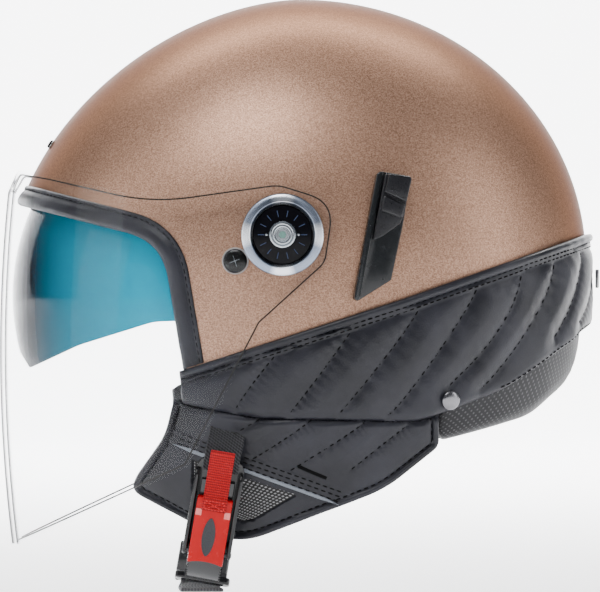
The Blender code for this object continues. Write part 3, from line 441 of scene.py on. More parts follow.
feed(copper, "Normal", relief(copper, flake_turn.outputs["Green"], 0.00002, 0.35))
shell.data.materials.append(copper)
belongs(shell, "helmet", "shell_paint", "outer_shell")

# ---------------------------------------------------------------------------
# Leather edge trim. A strip of soft black leather is folded round the shell's
# edge at the face and stitched along its outer side, with foam under it.
LEATHER_STITCH = 0.0024
STITCH_GAP = 0.0011


def grid_piece(name, rows, closed=False):
    """A sheet of quads through a grid of points."""
    rows = np.asarray(rows, float)
    count_a, count_b = rows.shape[:2]
    bpy.ops.object.select_all(action="DESELECT")
    bpy.ops.mesh.primitive_grid_add(x_subdivisions=count_b - 1, y_subdivisions=count_a - 1, size=1)
    obj = bpy.context.object
    obj.name = name
    obj.data.vertices.foreach_set("co", rows.reshape(-1, 3).ravel())
    if closed:
        only(obj)
        edit_whole()
        bpy.ops.mesh.remove_doubles(threshold=1e-6)
        edit_done()
    obj.data.update()
    return obj


def face_out(obj):
    """Turns an open sheet round if its faces look into the helmet."""
    middle = sum(float(np.dot(outwards(np.array(p.center)[None])[0], p.normal))
                 for p in list(obj.data.polygons)[::37])
    if middle < 0:
        only(obj)
        edit_whole()
        bpy.ops.mesh.flip_normals()
        edit_done()
    return obj


def thicken(obj, thickness, smooth=50):
    """Gives an open sheet its thickness inwards."""
    face_out(obj)
    add_modifier(obj, "SOLIDIFY", thickness=thickness, offset=-1)
    apply_all(obj)
    only(obj)
    bpy.ops.object.shade_smooth_by_angle(angle=math.radians(smooth))
    return obj


def two_faced(name, outer, inner):
    """A closed sheet between an outer and an inner grid of points, with its border faces."""
    rows, columns = outer.shape[:2]
    obj = grid_piece(name, outer)
    back = grid_piece(name + "_back", inner)
    only(obj)
    back.select_set(True)
    bpy.ops.object.join()
    number = np.arange(rows * columns).reshape(rows, columns)
    border = np.concatenate([number[0], number[1:, -1], number[-1, :-1][::-1], number[1:-1, 0][::-1]])
    sheet = bmesh.new()
    sheet.from_mesh(obj.data)
    sheet.verts.ensure_lookup_table()
    for a, b in zip(border, np.roll(border, -1)):
        corners = [sheet.verts[int(v)] for v in (a, b, b + rows * columns, a + rows * columns)]
        sheet.faces.new(corners)
    bmesh.ops.recalc_face_normals(sheet, faces=sheet.faces)
    sheet.to_mesh(obj.data)
    sheet.free()
    only(obj)
    bpy.ops.object.shade_smooth_by_angle(angle=math.radians(62))
    return obj


def nearest(points, targets):
    """How far each point is from the nearest of the targets."""
    points = np.asarray(points, float).reshape(-1, 3)
    targets = np.asarray(targets, float).reshape(-1, 3)
    far = np.full(len(points), 1.0)
    for start in range(0, len(points), 4000):
        gap = points[start:start + 4000, None, :] - targets[None]
        far[start:start + 4000] = np.sqrt((gap**2).sum(-1).min(1))
    return far


def ripples(at, scale, seed):
    """Soft waves over a surface, between -1 and 1."""
    draw = np.random.default_rng(seed)
    total = np.zeros(len(at))
    for _ in range(5):
        total += np.sin(at @ (draw.normal(size=3) / scale) + draw.uniform(0, 6.28))
    return total / 3


def stitch_shape():
    """One stitch: a short thread with its ends pushed into the leather, along X."""
    bpy.ops.object.select_all(action="DESELECT")
    bpy.ops.mesh.primitive_cylinder_add(vertices=6, radius=0.5, depth=1, rotation=(0, math.pi / 2, 0))
    obj = bpy.context.object
    bpy.ops.object.transform_apply(rotation=True)
    edit_whole()
    bpy.ops.mesh.bisect(plane_co=(0.3, 0, 0), plane_no=(1, 0, 0))
    bpy.ops.mesh.select_all(action="SELECT")
    bpy.ops.mesh.bisect(plane_co=(-0.3, 0, 0), plane_no=(1, 0, 0))
    edit_done()
    for vertex in obj.data.vertices:
        if abs(vertex.co.x) > 0.4:
            vertex.co.yz = vertex.co.yz * 0.5
            vertex.co.z -= 0.35
    points = np.array([v.co[:] for v in obj.data.vertices])
    faces = [tuple(p.vertices) for p in obj.data.polygons]
    bpy.data.objects.remove(obj)
    return points, faces


STITCH_POINTS, STITCH_FACES = stitch_shape()


def sew(name, lines, normals=None, length=LEATHER_STITCH, gap=STITCH_GAP, thick=0.00068):
    """Stitches along lines of points, lying on the surface that they follow."""
    points = []
    faces = []
    for number, line in enumerate(lines):
        line = np.asarray(line, float)
        run = np.linalg.norm(np.diff(line, axis=0), axis=1).sum()
        count = max(int(run / (length + gap)), 1)
        spots = even(line, 2 * count + 1)
        ups = outwards(spots) if normals is None else np.asarray(normals[number])[
            np.linspace(0, len(normals[number]) - 1, 2 * count + 1).astype(int)]
        for k in range(count):
            middle = spots[2 * k + 1]
            along = spots[2 * k + 2] - spots[2 * k]
            along /= np.linalg.norm(along)
            up = ups[2 * k + 1] - along * np.dot(ups[2 * k + 1], along)
            up /= np.linalg.norm(up)
            turn = np.stack([along * length, np.cross(up, along) * thick, up * thick * 0.8])
            start = len(points) * len(STITCH_POINTS)
            points.append(STITCH_POINTS @ turn + middle)
            faces += [tuple(start + v for v in face) for face in STITCH_FACES]
    mesh = bpy.data.meshes.new(name)
    mesh.from_pydata(np.concatenate(points).tolist(), [], faces)
    obj = bpy.data.objects.new(name, mesh)
    bpy.context.scene.collection.objects.link(obj)
    only(obj)
    bpy.ops.object.shade_smooth()
    return obj


APRON_TOP = smooth_line(((-0.0700, -0.0560, 0), (0.0480, -0.0178, 0.2), (0.1700, 0.0250, 0)))
TRIM_WIDTH = 0.0103
# Across the strip: the share of its width from the outer edge to the fold, and the height there.
TRIM_SECTION = ((0.0, 0.0001), (0.02, 0.0007), (0.09, 0.0011), (0.16, 0.0010), (0.22, 0.0007), (0.28, 0.0009),
                (0.40, 0.0017), (0.60, 0.0022), (0.78, 0.0021), (0.90, 0.0016), (0.97, 0.0008),
                (1.0, -0.0004),
                (0.99, -0.0022), (0.93, -0.0034), (0.80, -0.0040), (0.60, -0.0041))


def trim_rows(side):
    """Cross sections of the folded strip from the middle of the brow down to the apron."""
    count = 240
    outer = even(beside_line(FACE_EDGE, TRIM_WIDTH), 900)
    inner = even(beside_line(FACE_EDGE, 0.0), 900)
    rows = []
    for share, lift in TRIM_SECTION:
        line = outer + (inner - outer) * share
        shown = shell_size(np.stack([line[:, 0], 0 * line[:, 0], line[:, 1]], -1), lift) < 1.0
        above = line[:, 1] > np.interp(line[:, 0], APRON_TOP[:, 0], APRON_TOP[:, 1]) + 0.0002
        line = line[shown & above]
        first, second = line[0], line[1]
        edge = first.copy()
        for step in np.linspace(0, 1.5, 60):
            spot = first + (first - second) * step
            if shell_size(np.array([spot[0], 0, spot[1]]), lift) < 1.0:
                edge = spot
        line[0] = edge
        line = even(line, 1200)
        at = beside(line[:, 0], line[:, 1], side, lift)
        at[0, 1] = 0
        rows.append(even(at, count))
    return np.array(rows)


trim_halves = [trim_rows(side) for side in (LEFT, RIGHT)]
trim_grid = np.concatenate([trim_halves[0][:, ::-1], trim_halves[1][:, 1:]], axis=1)
flat_at = trim_grid.reshape(-1, 3)
wave = ripples(flat_at, 0.004, 11) * 0.00014 + ripples(flat_at, 0.0013, 12) * 0.00005
flat_at = flat_at + outwards(flat_at) * wave[:, None]
trim = grid_piece("edge_trim_leather", flat_at.reshape(trim_grid.shape))
face_out(trim)
add_modifier(trim, "SOLIDIFY", thickness=0.0005, offset=-1)
apply_all(trim)
bpy.ops.object.shade_smooth_by_angle(angle=math.radians(60))


def leather_grain():
    """Fine pebbled grain of soft leather, with a little unevenness in its shine."""
    group = bpy.data.node_groups.new("leather_grain", "ShaderNodeTree")
    group.interface.new_socket("Place", in_out="INPUT", socket_type="NodeSocketVector")
    group.interface.new_socket("Height", in_out="OUTPUT", socket_type="NodeSocketFloat")
    group.interface.new_socket("Shade", in_out="OUTPUT", socket_type="NodeSocketFloat")
    start = group.nodes.new("NodeGroupInput")
    end = group.nodes.new("NodeGroupOutput")
    cells = group.nodes.new("ShaderNodeTexVoronoi")
    cells.feature = "DISTANCE_TO_EDGE"
    cells.inputs["Scale"].default_value = 820
    large = group.nodes.new("ShaderNodeTexNoise")
    large.inputs["Scale"].default_value = 420
    large.inputs["Detail"].default_value = 4
    blotch = group.nodes.new("ShaderNodeTexNoise")
    blotch.inputs["Scale"].default_value = 38
    blotch.inputs["Detail"].default_value = 3
    soft = group.nodes.new("ShaderNodeMapRange")
    soft.inputs["From Max"].default_value = 0.30
    add = group.nodes.new("ShaderNodeMath")
    add.operation = "MULTIPLY_ADD"
    add.inputs[1].default_value = 0.6
    group.links.new(start.outputs["Place"], cells.inputs["Vector"])
    group.links.new(start.outputs["Place"], large.inputs["Vector"])
    group.links.new(start.outputs["Place"], blotch.inputs["Vector"])
    group.links.new(cells.outputs["Distance"], soft.inputs["Value"])
    group.links.new(soft.outputs["Result"], add.inputs[0])
    group.links.new(large.outputs["Fac"], add.inputs[2])
    group.links.new(add.outputs["Value"], end.inputs["Height"])
    group.links.new(blotch.outputs["Fac"], end.inputs["Shade"])
    return group


GRAIN = leather_grain()


def leather(name, dark, light, rough, depth=0.00009):
    made = new_finish(name, dark, rough, 0.0, 0.0, Specular_IOR_Level=0.30)
    grain = node(made, "Group", node_tree=GRAIN)
    made.node_tree.links.new(place_of(made), grain.inputs["Place"])
    feed(made, "Base Color",
         blend_colours(made, spread(made, grain.outputs["Shade"], 0.35, 0.7), dark, light))
    feed(made, "Roughness", spread(made, grain.outputs["Shade"], 0.3, 0.7, rough - 0.06, rough + 0.08))
    feed(made, "Normal", relief(made, grain.outputs["Height"], depth, 0.55))
    return made


black_leather = leather("black_leather", (0.0085, 0.0088, 0.0125), (0.022, 0.0225, 0.030), 0.36)
trim.data.materials.append(black_leather)
belongs(trim, "helmet", "black_leather", "edge_trim")

thread = new_finish("black_thread", (0.002, 0.002, 0.002), 0.7, Specular_IOR_Level=0.1)
twist = node(thread, "TexWave", {"Vector": place_of(thread)}, Scale=1400, Distortion=2)
feed(thread, "Base Color",
     blend_colours(thread, twist.outputs["Fac"], (0.0004, 0.0004, 0.0005), (0.003, 0.003, 0.0035)))


def sewn(obj, body="helmet"):
    obj.data.materials.append(thread)
    return belongs(obj, body, "black_leather")


seam_lines = []
for half in trim_halves:
    seam_lines.append((half[3] + half[4]) / 2)
sewn(sew("edge_trim_stitches", seam_lines))

# ---------------------------------------------------------------------------
# Neck apron. Soft black leather quilted over foam, wrapped round the back of
# the shell from ear to ear. Its top edge is rolled and sewn down twice, the
# channels lean forward, and its lower edge is folded under.
APRON_END = math.radians(118.5)
APRON_ACROSS = 440
APRON_DOWN = 44
TOP_ROLL = 0.0041
TOP_SEAM = 0.0062
QUILT_SEAMS = (((-0.0090, -0.0411), (-0.0222, -0.0576), (-0.0302, -0.0696)),
               ((0.0255, -0.0305), (0.0083, -0.0543), (-0.0050, -0.0715)),
               ((0.0576, -0.0172), (0.0467, -0.0357), (0.0182, -0.0715)),
               ((0.0835, -0.0106), (0.0708, -0.0331), (0.0510, -0.0610), (0.0404, -0.0715)),
               ((0.1040, -0.0033), (0.0947, -0.0290), (0.0801, -0.0477), (0.0694, -0.0588)),
               ((0.1189, -0.0007), (0.1119, -0.0224), (0.0972, -0.0451), (0.0840, -0.0602)),
               ((0.1322, 0.0054), (0.1291, -0.0144), (0.1192, -0.0357)),
               ((0.1372, 0.0090), (0.1362, -0.0144), (0.1310, -0.0290)))


def height_at(line, x):
    return np.interp(x, line[:, 0], line[:, 1])


def round_the_back(turn, share, lift=0.0):
    """Points of the surface at a turn about the upright axis, a share of the way from APRON_TOP to HEM."""
    turn, share = np.broadcast_arrays(turn, share)
    near, far = np.zeros(turn.shape), np.full(turn.shape, 0.2)
    for _ in range(36):
        reach = (near + far) / 2
        x = reach * np.cos(turn)
        z = height_at(APRON_TOP, x) * (1 - share) + height_at(HEM, x) * share
        at = np.stack([x, reach * np.sin(turn), z], -1)
        inside = shell_size(at, lift) < 1
        near = np.where(inside, reach, near)
        far = np.where(inside, far, reach)
    return at


def fine_curve(corners, count=60):
    """A smooth curve through a few points."""
    corners = np.asarray(corners, float)
    at = np.linspace(0, 1, len(corners))
    fit = min(len(corners) - 1, 3)
    want = np.linspace(0, 1, count)
    return np.stack([np.polyval(np.polyfit(at, corners[:, k], fit), want) for k in range(corners.shape[1])],
                    -1)


def nearest_of(points, targets):
    """How far each point is from the nearest target, and which one that is."""
    points = points.reshape(-1, 3)
    far = np.empty(len(points))
    which = np.empty(len(points), int)
    for start in range(0, len(points), 3000):
        gap = ((points[start:start + 3000, None, :] - targets[None]) ** 2).sum(-1)
        which[start:start + 3000] = gap.argmin(1)
        far[start:start + 3000] = np.sqrt(gap.min(1))
    return far, which


def crease(distance, width):
    """0 in a seam, rising steeply at first, to 1 well away from it."""
    return 1 - np.exp(-((np.clip(distance, 0, None) / width) ** 0.8))


turns = np.linspace(-APRON_END, APRON_END, APRON_ACROSS)[None, :]
shares = np.linspace(0, 1, APRON_DOWN)[:, None]
base = round_the_back(turns, shares)
top_edge = round_the_back(turns, 0.0)[0]
low_edge = round_the_back(turns, 1.0)[0]
quilt = []
for side in (LEFT, RIGHT):
    for corners in QUILT_SEAMS:
        curve = fine_curve(corners)
        quilt.append(beside(curve[:, 0], curve[:, 1], side))
back_seam = round_the_back(0.0, np.linspace(0.10, 1.0, 60))
quilt.append(back_seam)
flat = base.reshape(-1, 3)
to_seam, which = nearest_of(flat, np.concatenate(quilt))
to_top = nearest(flat, top_edge)
to_low = nearest(flat, low_edge)
ends = np.concatenate([base[:, 0], base[:, -1]])
to_end = nearest(flat, ends)
pucker = np.sin(which * 1.35 + (which // 60) * 2.1) * np.exp(-to_seam / 0.0035)
body = crease(to_seam, 0.0060) * crease(to_top - TOP_SEAM, 0.0040)
round_low = np.sqrt(np.clip(1 - (1 - np.clip(to_low / 0.0045, 0, 1)) ** 2, 0, 1))
lift = 0.0012 + 0.0034 * body + 0.00022 * pucker
lift = 0.0003 + (lift - 0.0003) * round_low
roll = 0.0006 + 0.0028 * np.sqrt(np.clip(1 - ((to_top - 0.0017) / 0.0024) ** 2, 0, 1))
cord = 0.0015 + 0.0008 * np.sin(np.clip((to_top - TOP_ROLL) / (TOP_SEAM - TOP_ROLL), 0, 1) * math.pi)
lift = np.where(to_top < TOP_ROLL, roll, np.where(to_top < TOP_SEAM, cord, np.maximum(lift, 0.0012)))
lift *= 0.35 + 0.65 * np.sqrt(np.clip(to_end / 0.004, 0, 1))
lift += ripples(flat, 0.010, 21) * 0.00022 * body + ripples(flat, 0.0030, 22) * 0.00008
apron_at = flat + outwards(flat) * (lift + 0.0004)[:, None]
apron = two_faced("neck_apron_leather", apron_at.reshape(base.shape), base + outwards(base) * 0.0003)
apron.data.materials.append(black_leather)
belongs(apron, "helmet", "black_leather", "neck_apron")


def drawn(line, at, surface, rise):
    """A line kept where it runs, and raised to the height of the puffed surface under it."""
    line = np.asarray(line, float)
    _, spot = nearest_of(line, at)
    high = np.linalg.norm(np.asarray(surface)[spot] - np.asarray(at)[spot], axis=1)
    high = np.convolve(np.pad(high, 4, mode="edge"), np.ones(9) / 9, "valid")
    return line + outwards(line) * (high + rise)[:, None]


apron_seams = []
for line in quilt:
    shown = (nearest(line, top_edge) > TOP_SEAM + 0.0005) & (nearest(line, low_edge) > 0.0012)
    apron_seams.append(drawn(line[shown], flat, apron_at, 0.00005))
share_at = lambda drop: np.clip(drop / np.maximum(np.linalg.norm(low_edge - top_edge, axis=1), 1e-4), 0, 1)
for drop in (TOP_ROLL, TOP_SEAM):
    apron_seams.append(drawn(round_the_back(turns[0], share_at(drop)), flat, apron_at, 0.0001))
rear = np.abs(turns[0]) < math.radians(42)
apron_seams.append(drawn(round_the_back(turns[0][rear], 1 - share_at(0.0022)[rear]), flat, apron_at, 0.0001))
sewn(sew("neck_apron_stitches", apron_seams))

# ---------------------------------------------------------------------------
# Ear flaps. Leather over thin foam, bound all round, hanging from the shell
# below the apron. Quilt seams run on from the apron, a grey reflective piping
# crosses each flap with three rows of stitching, and mesh lets in sound.
FLAP_LINE = smooth_line(((0.0655, -0.0500, 0), (0.0655, -0.0870, 0.008), (0.0400, -0.1075, 0.06),
                         (-0.0300, -0.1345, 0.035), (-0.0815, -0.1070, 0.008), (-0.0640, -0.0820, 0.03),
                         (-0.0560, -0.0500, 0)), 16)
FLAP_LINE = even(FLAP_LINE, 700)
BINDING = 0.0040
FLAP_SEAMS = (((-0.0180, -0.0735), (-0.0286, -0.0798)),
              ((0.0060, -0.0740), (-0.0080, -0.0840), (-0.0225, -0.0930)),
              ((0.0302, -0.0745), (0.0236, -0.0805), (-0.0050, -0.0985)),
              ((0.0500, -0.0770), (0.0236, -0.0980)))
PIPING_FROM, PIPING_TO = np.array([-0.0593, -0.0856]), np.array([0.0178, -0.1137])
MESH_CORNERS = ((-0.0500, -0.0935), (-0.0020, -0.1100), (-0.0215, -0.1215), (-0.0270, -0.1225),
                (-0.0500, -0.1150))


def patch(top, bottom, left, right, count_a, count_b):
    """A grid stretched between four border lines that meet at the corners."""
    top, bottom = even(top, count_b), even(bottom, count_b)
    left, right = even(left, count_a), even(right, count_a)
    u, v = np.linspace(0, 1, count_b)[None, :, None], np.linspace(0, 1, count_a)[:, None, None]
    flat = (1 - v) * top[None] + v * bottom[None] + (1 - u) * left[:, None] + u * right[:, None]
    corner = (1 - u) * (1 - v) * top[0] + u * (1 - v) * top[-1] + (1 - u) * v * bottom[0] + u * v * bottom[-1]
    return flat - corner


def lay_flat(obj, across, down):
    """Gives a sheet a UV map in metres, from its own two lengths at each point."""
    layer = obj.data.uv_layers.new(name="cloth_size") if not obj.data.uv_layers else obj.data.uv_layers[0]
    flat = np.stack([np.asarray(across).ravel(), np.asarray(down).ravel()], -1)
    corner = np.empty(len(obj.data.loops), int)
    obj.data.loops.foreach_get("vertex_index", corner)
    layer.data.foreach_set("uv", flat[corner].ravel())


def along_rows(grid):
    """How far each point of a grid lies along its row and down its column."""
    across = np.linalg.norm(np.diff(grid, axis=1), axis=-1).mean(0)
    down = np.linalg.norm(np.diff(grid, axis=0), axis=-1).mean(1)
    u = np.concatenate([[0], np.cumsum(across)])[None, :]
    v = np.concatenate([[0], np.cumsum(down)])[:, None]
    return np.broadcast_arrays(u, v)


below_hem = FLAP_LINE[FLAP_LINE[:, 1] < height_at(HEM, FLAP_LINE[:, 0]) - 0.0003]
tip = int(below_hem[:, 0].argmin())
heel = int(np.abs(below_hem - np.array([0.0640, -0.0870])).sum(1).argmin())
flap_front = below_hem[tip:][::-1]
flap_low = below_hem[heel:tip + 1][::-1]
flap_rear = below_hem[:heel + 1]
hem_x = np.linspace(flap_front[0][0], flap_rear[0][0], 80)
flap_top = np.stack([hem_x, height_at(HEM, hem_x) - 0.0004], -1)
flap_flat = patch(flap_top, flap_low, flap_front, flap_rear, 84, 190)
piping_way = PIPING_TO - PIPING_FROM
piping_up = np.array([-piping_way[1], piping_way[0]]) / np.linalg.norm(piping_way)


def inside_corners(spots, corners, margin=0.0):
    """True for the (x, z) points that lie inside a convex outline, corners running clockwise."""
    inside = np.ones(len(spots), bool)
    for i, corner in enumerate(corners):
        a, b = np.array(corner), np.array(corners[(i + 1) % len(corners)])
        way = (b - a) / np.linalg.norm(b - a)
        inside &= (spots - a) @ np.array([-way[1], way[0]]) < -margin
    return inside


webbing_mesh = new_finish("black_mesh", (0.010, 0.010, 0.011), 0.75, Sheen_Weight=0.25)
net_at = node(webbing_mesh, "TexCoord").outputs["UV"]
net = node(webbing_mesh, "TexVoronoi",
           {"Vector": node(webbing_mesh, "Mapping", {"Vector": net_at},
                           Scale=(640, 640, 640)).outputs["Vector"]},
           Scale=1.0, Randomness=0.0)
# Painted highlight: the net's dots are coloured light grey for the glints on the knit. The same mask sinks
# the holes.
holes_and_painted_glints = spread(webbing_mesh, net.outputs["Distance"], 0.18, 0.34)
feed(webbing_mesh, "Base Color",
     blend_colours(webbing_mesh, holes_and_painted_glints, (0.30, 0.30, 0.31), (0.002, 0.002, 0.002)))
feed(webbing_mesh, "Normal", relief(webbing_mesh, holes_and_painted_glints, 0.0004, 0.9))
reflective = new_finish("grey_reflective_piping", (0.16, 0.18, 0.21), 0.42, 0.15)
beads = node(reflective, "TexNoise", {"Vector": place_of(reflective)}, Scale=2200, Detail=2)
feed(reflective, "Base Color",
     blend_colours(reflective, beads.outputs["Fac"], (0.10, 0.115, 0.14), (0.24, 0.265, 0.30)))
feed(reflective, "Normal", relief(reflective, beads.outputs["Fac"], 0.00006, 0.5))
# Dark cloth for the patch over the strap slot, which is partly painted shadow.
webbing_and_shadow_cloth = new_finish("black_webbing_and_shadow_patch", (0.006, 0.006, 0.006), 0.9)
patch_weave = node(webbing_and_shadow_cloth, "TexWave", {"Vector": place_of(webbing_and_shadow_cloth)}, Scale=700)
feed(webbing_and_shadow_cloth, "Base Color",
     blend_colours(webbing_and_shadow_cloth, patch_weave.outputs["Fac"], (0.003, 0.003, 0.003), (0.014, 0.014, 0.014)))

for label, side in SIDES:
    base = beside(flap_flat[..., 0], flap_flat[..., 1], side)
    flat = base.reshape(-1, 3)
    spots = flap_flat.reshape(-1, 2)
    rim = beside(*np.concatenate([flap_front, flap_low, flap_rear]).T, side)
    to_rim = nearest(flat, rim)
    to_top = nearest(flat, beside(*flap_top.T, side))
    seams = []
    for corners in FLAP_SEAMS:
        curve = fine_curve(corners)
        seams.append(beside(curve[:, 0], curve[:, 1], side))
    to_seam, which = nearest_of(flat, np.concatenate(seams))
    over = (spots - PIPING_FROM) @ piping_up
    run = (spots - PIPING_FROM) @ (piping_way / np.linalg.norm(piping_way))
    in_band = (over > -0.0002) & (over < 0.0072)
    pucker = np.sin(which * 1.35) * np.exp(-to_seam / 0.003)
    body = crease(to_seam, 0.0055) * crease(to_rim - BINDING, 0.0030) * crease(over - 0.0066, 0.004)
    lift = np.where(over > 0.0066, 0.0014 + 0.0026 * body + 0.0002 * pucker, 0.0016)
    rows_high = 0.0018 + 0.0004 * np.abs(np.sin(np.clip(over / 0.0068, 0, 1) * 3 * math.pi))
    lift = np.where(in_band, rows_high, lift)
    low_part = 0.0012 + 0.0014 * crease(to_rim - BINDING, 0.004) * crease(-over, 0.004)
    lift = np.where(over <= -0.0002, low_part, lift)
    in_mesh = inside_corners(spots, MESH_CORNERS)
    lift = np.where(in_mesh, 0.0008, lift)
    round_rim = np.sqrt(np.clip(1 - (1 - np.clip(to_rim / 0.0020, 0, 1)) ** 2, 0, 1))
    sewn_down = np.clip((to_rim - 0.0028) / (BINDING - 0.0028), 0, 1)
    bound = -0.0030 + 0.0062 * round_rim - 0.0014 * sewn_down**2
    lift = np.where(to_rim < BINDING, bound, lift)
    fold = np.sqrt(np.clip(1 - (1 - np.clip(to_top / 0.0030, 0, 1)) ** 2, 0, 1))
    lift = lift * fold + (ripples(flat, 0.008, 31) * 0.00020 + ripples(flat, 0.0026, 32) * 0.00007)
    flap_at = flat + outwards(flat) * lift[:, None]
    to_rim_inside = np.clip(1 - (1 - np.clip(to_rim / 0.0030, 0, 1)) ** 2, 0, 1) ** 0.5
    lining_at = flat - outwards(flat) * (0.0032 + 0.0038 * to_rim_inside)[:, None]
    flap = two_faced("ear_flap_" + label + "_leather", flap_at.reshape(base.shape),
                     lining_at.reshape(base.shape))
    flap.data.materials.append(black_leather)
    belongs(flap, "helmet", "black_leather", "ear_flap_" + label)

    rows = []
    for line in seams:
        rows.append(drawn(line[nearest(line, rim) > BINDING], flat, flap_at, 0.00005))
    rim_spots = even(np.concatenate([flap_front, flap_low[1:], flap_rear[::-1][1:]]), 300)
    edge_way = np.gradient(rim_spots, axis=0)
    edge_way /= np.linalg.norm(edge_way, axis=1)[:, None]
    inner = rim_spots + np.stack([-edge_way[:, 1], edge_way[:, 0]], -1) * (BINDING + 0.0003)
    rows.append(drawn(beside(*inner.T, side), flat, flap_at, 0.0001))
    for high in (0.0011, 0.0034, 0.0057):
        ends = np.stack([PIPING_FROM + piping_up * high + piping_way * s for s in np.linspace(0.02, 1.0, 80)])
        rows.append(drawn(beside(*ends.T, side), flat, flap_at, 0.0001))
    sewn(sew("ear_flap_" + label + "_stitches", rows))

    line = np.stack([PIPING_FROM + piping_way * s for s in np.linspace(0, 1, 70)])
    middle_line = drawn(beside(*line.T, side), flat, flap_at, 0.0002)
    wide = 0.00105 * np.clip(np.sin(np.linspace(0.02, math.pi - 0.02, 70)) * 3, 0.15, 1)
    up = beside(*(line + piping_up * 0.001).T, side) - beside(*line.T, side)
    up /= np.linalg.norm(up, axis=1)[:, None]
    out = outwards(beside(*line.T, side))
    ring = np.linspace(0, 2 * math.pi, 9)[:-1]
    tube = np.stack([middle_line + up * (wide * math.cos(a))[:, None] + out * (0.00075 * math.sin(a))
                     for a in ring])
    piping = grid_piece("piping_" + label + "_reflective", np.concatenate([tube, tube[:1]]), closed=True)
    tidy(piping, 60)
    piping.data.materials.append(reflective)
    belongs(piping, "helmet", "grey_piping", "piping_" + label)

    corners = np.array(MESH_CORNERS)
    net_flat = patch(corners[[0, 1]], corners[[4, 3]], corners[[0, 4]], corners[[1, 2, 3]], 30, 40)
    net_at = beside(net_flat[..., 0], net_flat[..., 1], side, 0.0017)
    insert = grid_piece("mesh_panel_" + label + "_net", net_at)
    lay_flat(insert, *along_rows(net_at))
    thicken(insert, 0.0004)
    insert.data.materials.append(webbing_mesh)
    belongs(insert, "helmet", "mesh_fabric", "mesh_panel_" + label)

    # A dark patch above the buckle: partly the webbing going into a slot in the leather, partly painted
    # shadow in that slot.
    patch_flat = patch(np.array([(-0.0412, -0.0790), (-0.0298, -0.0800)]),
                       np.array([(-0.0405, -0.0850), (-0.0292, -0.0865)]),
                       np.array([(-0.0412, -0.0790), (-0.0405, -0.0850)]),
                       np.array([(-0.0298, -0.0800), (-0.0292, -0.0865)]), 12, 20)
    patch_at = drawn(beside(patch_flat[..., 0], patch_flat[..., 1], side).reshape(-1, 3), flat, flap_at,
                     0.0005)
    collar = grid_piece("strap_slot_shadow_patch_" + label, patch_at.reshape(12, 20, 3))
    thicken(collar, 0.0006)
    collar.data.materials.append(webbing_and_shadow_cloth)
    belongs(collar, "helmet", "black_leather")

    tack = np.linspace((-0.0010, -0.0961), (0.0125, -0.1016), 40)
    tack_at = drawn(beside(*tack.T, side), flat, flap_at, 0.0002)
    bars = []
    for k in range(1, 39):
        lean = beside(*(tack[k] + np.array([0.0004, 0.0010])), side) - beside(*tack[k], side)
        bars.append(np.stack([tack_at[k] - lean, tack_at[k] + lean]))
    sewn(sew("bar_tack_" + label, bars, length=0.0018, gap=0.0001, thick=0.0005))

# ---------------------------------------------------------------------------
# Neck roll. A thick foam roll under the back of the shell, covered in black
# leather punched with rows of small air holes.
NECK_LINE = smooth_line(((0.0662, -0.0500, 0), (0.0662, -0.0850, 0.002), (0.1080, -0.0735, 0.03),
                         (0.1300, -0.0560, 0.03), (0.1400, -0.0200, 0.01), (0.1800, 0.0200, 0)), 16)


def neck_ring(turn, share, depth):
    """Points a share of the way down the roll's outer face, at a depth under the shell's surface."""
    turn, share = np.broadcast_arrays(turn, share)
    near, far = np.zeros(turn.shape), np.full(turn.shape, 0.2)
    low_line = NECK_LINE[NECK_LINE[:, 0] > 0.0663]
    for _ in range(36):
        reach = (near + far) / 2
        x = reach * np.cos(turn)
        top = height_at(HEM, x) + 0.0026
        z = top * (1 - share) + np.minimum(height_at(low_line, x), top) * share
        at = np.stack([x, reach * np.sin(turn), z], -1)
        inside = shell_size(at, -depth) < 1
        near = np.where(inside, reach, near)
        far = np.where(inside, far, reach)
    return at


neck_turn = np.linspace(-1, 1, 260)
start_turn = math.atan2(beside(0.0668, -0.075, RIGHT)[1], 0.0668)
sections = []
for share, depth in [(0.0, 0.0022), (0.04, 0.0012), *[(s, 0.0008) for s in np.linspace(0.10, 0.80, 18)],
                     (0.88, 0.0012),
                     (0.94, 0.0022), (0.98, 0.0040), (1.0, 0.0068), (1.0, 0.0110), (1.0, 0.0150),
                     (1.0, 0.0190),
                     (0.98, 0.0220), (0.92, 0.0242), (0.82, 0.0252), (0.6, 0.0255), (0.3, 0.0250),
                     (0.10, 0.0240)]:
    sections.append(neck_ring(neck_turn * start_turn, share, depth))
neck_grid = np.array(sections)
pinch = np.sqrt(np.clip(1 - (np.abs(neck_turn) ** 26), 0.02, 1))[None, :, None]
heart = neck_grid.mean(0, keepdims=True)
neck_grid = heart + (neck_grid - heart) * (0.35 + 0.65 * pinch)
flat = neck_grid.reshape(-1, 3)
neck_wave = (ripples(flat, 0.012, 41) * 0.0004).reshape(neck_grid.shape[:2])
neck_grid = neck_grid + neck_wave[..., None] * outwards(neck_grid)
neck_roll = grid_piece("neck_roll_leather", neck_grid)
lay_flat(neck_roll, *along_rows(neck_grid))
only(neck_roll)
bpy.ops.object.mode_set(mode="EDIT")
bpy.ops.mesh.select_mode(type="VERT")
bpy.ops.mesh.select_all(action="SELECT")
bpy.ops.mesh.fill_holes(sides=0)
bpy.ops.mesh.select_all(action="DESELECT")
edit_done()
tidy(neck_roll, 60)
punched = leather("punched_leather", (0.009, 0.009, 0.011), (0.016, 0.016, 0.018), 0.50)
punch_at = node(punched, "Mapping", {"Vector": node(punched, "TexCoord").outputs["UV"]})
punch_at.inputs["Scale"].default_value = (430, 430, 1)
punch_at.inputs["Rotation"].default_value = (0, 0, math.radians(38))
punch = node(punched, "TexVoronoi", {"Vector": punch_at.outputs["Vector"]}, Scale=1.0, Randomness=0.0)
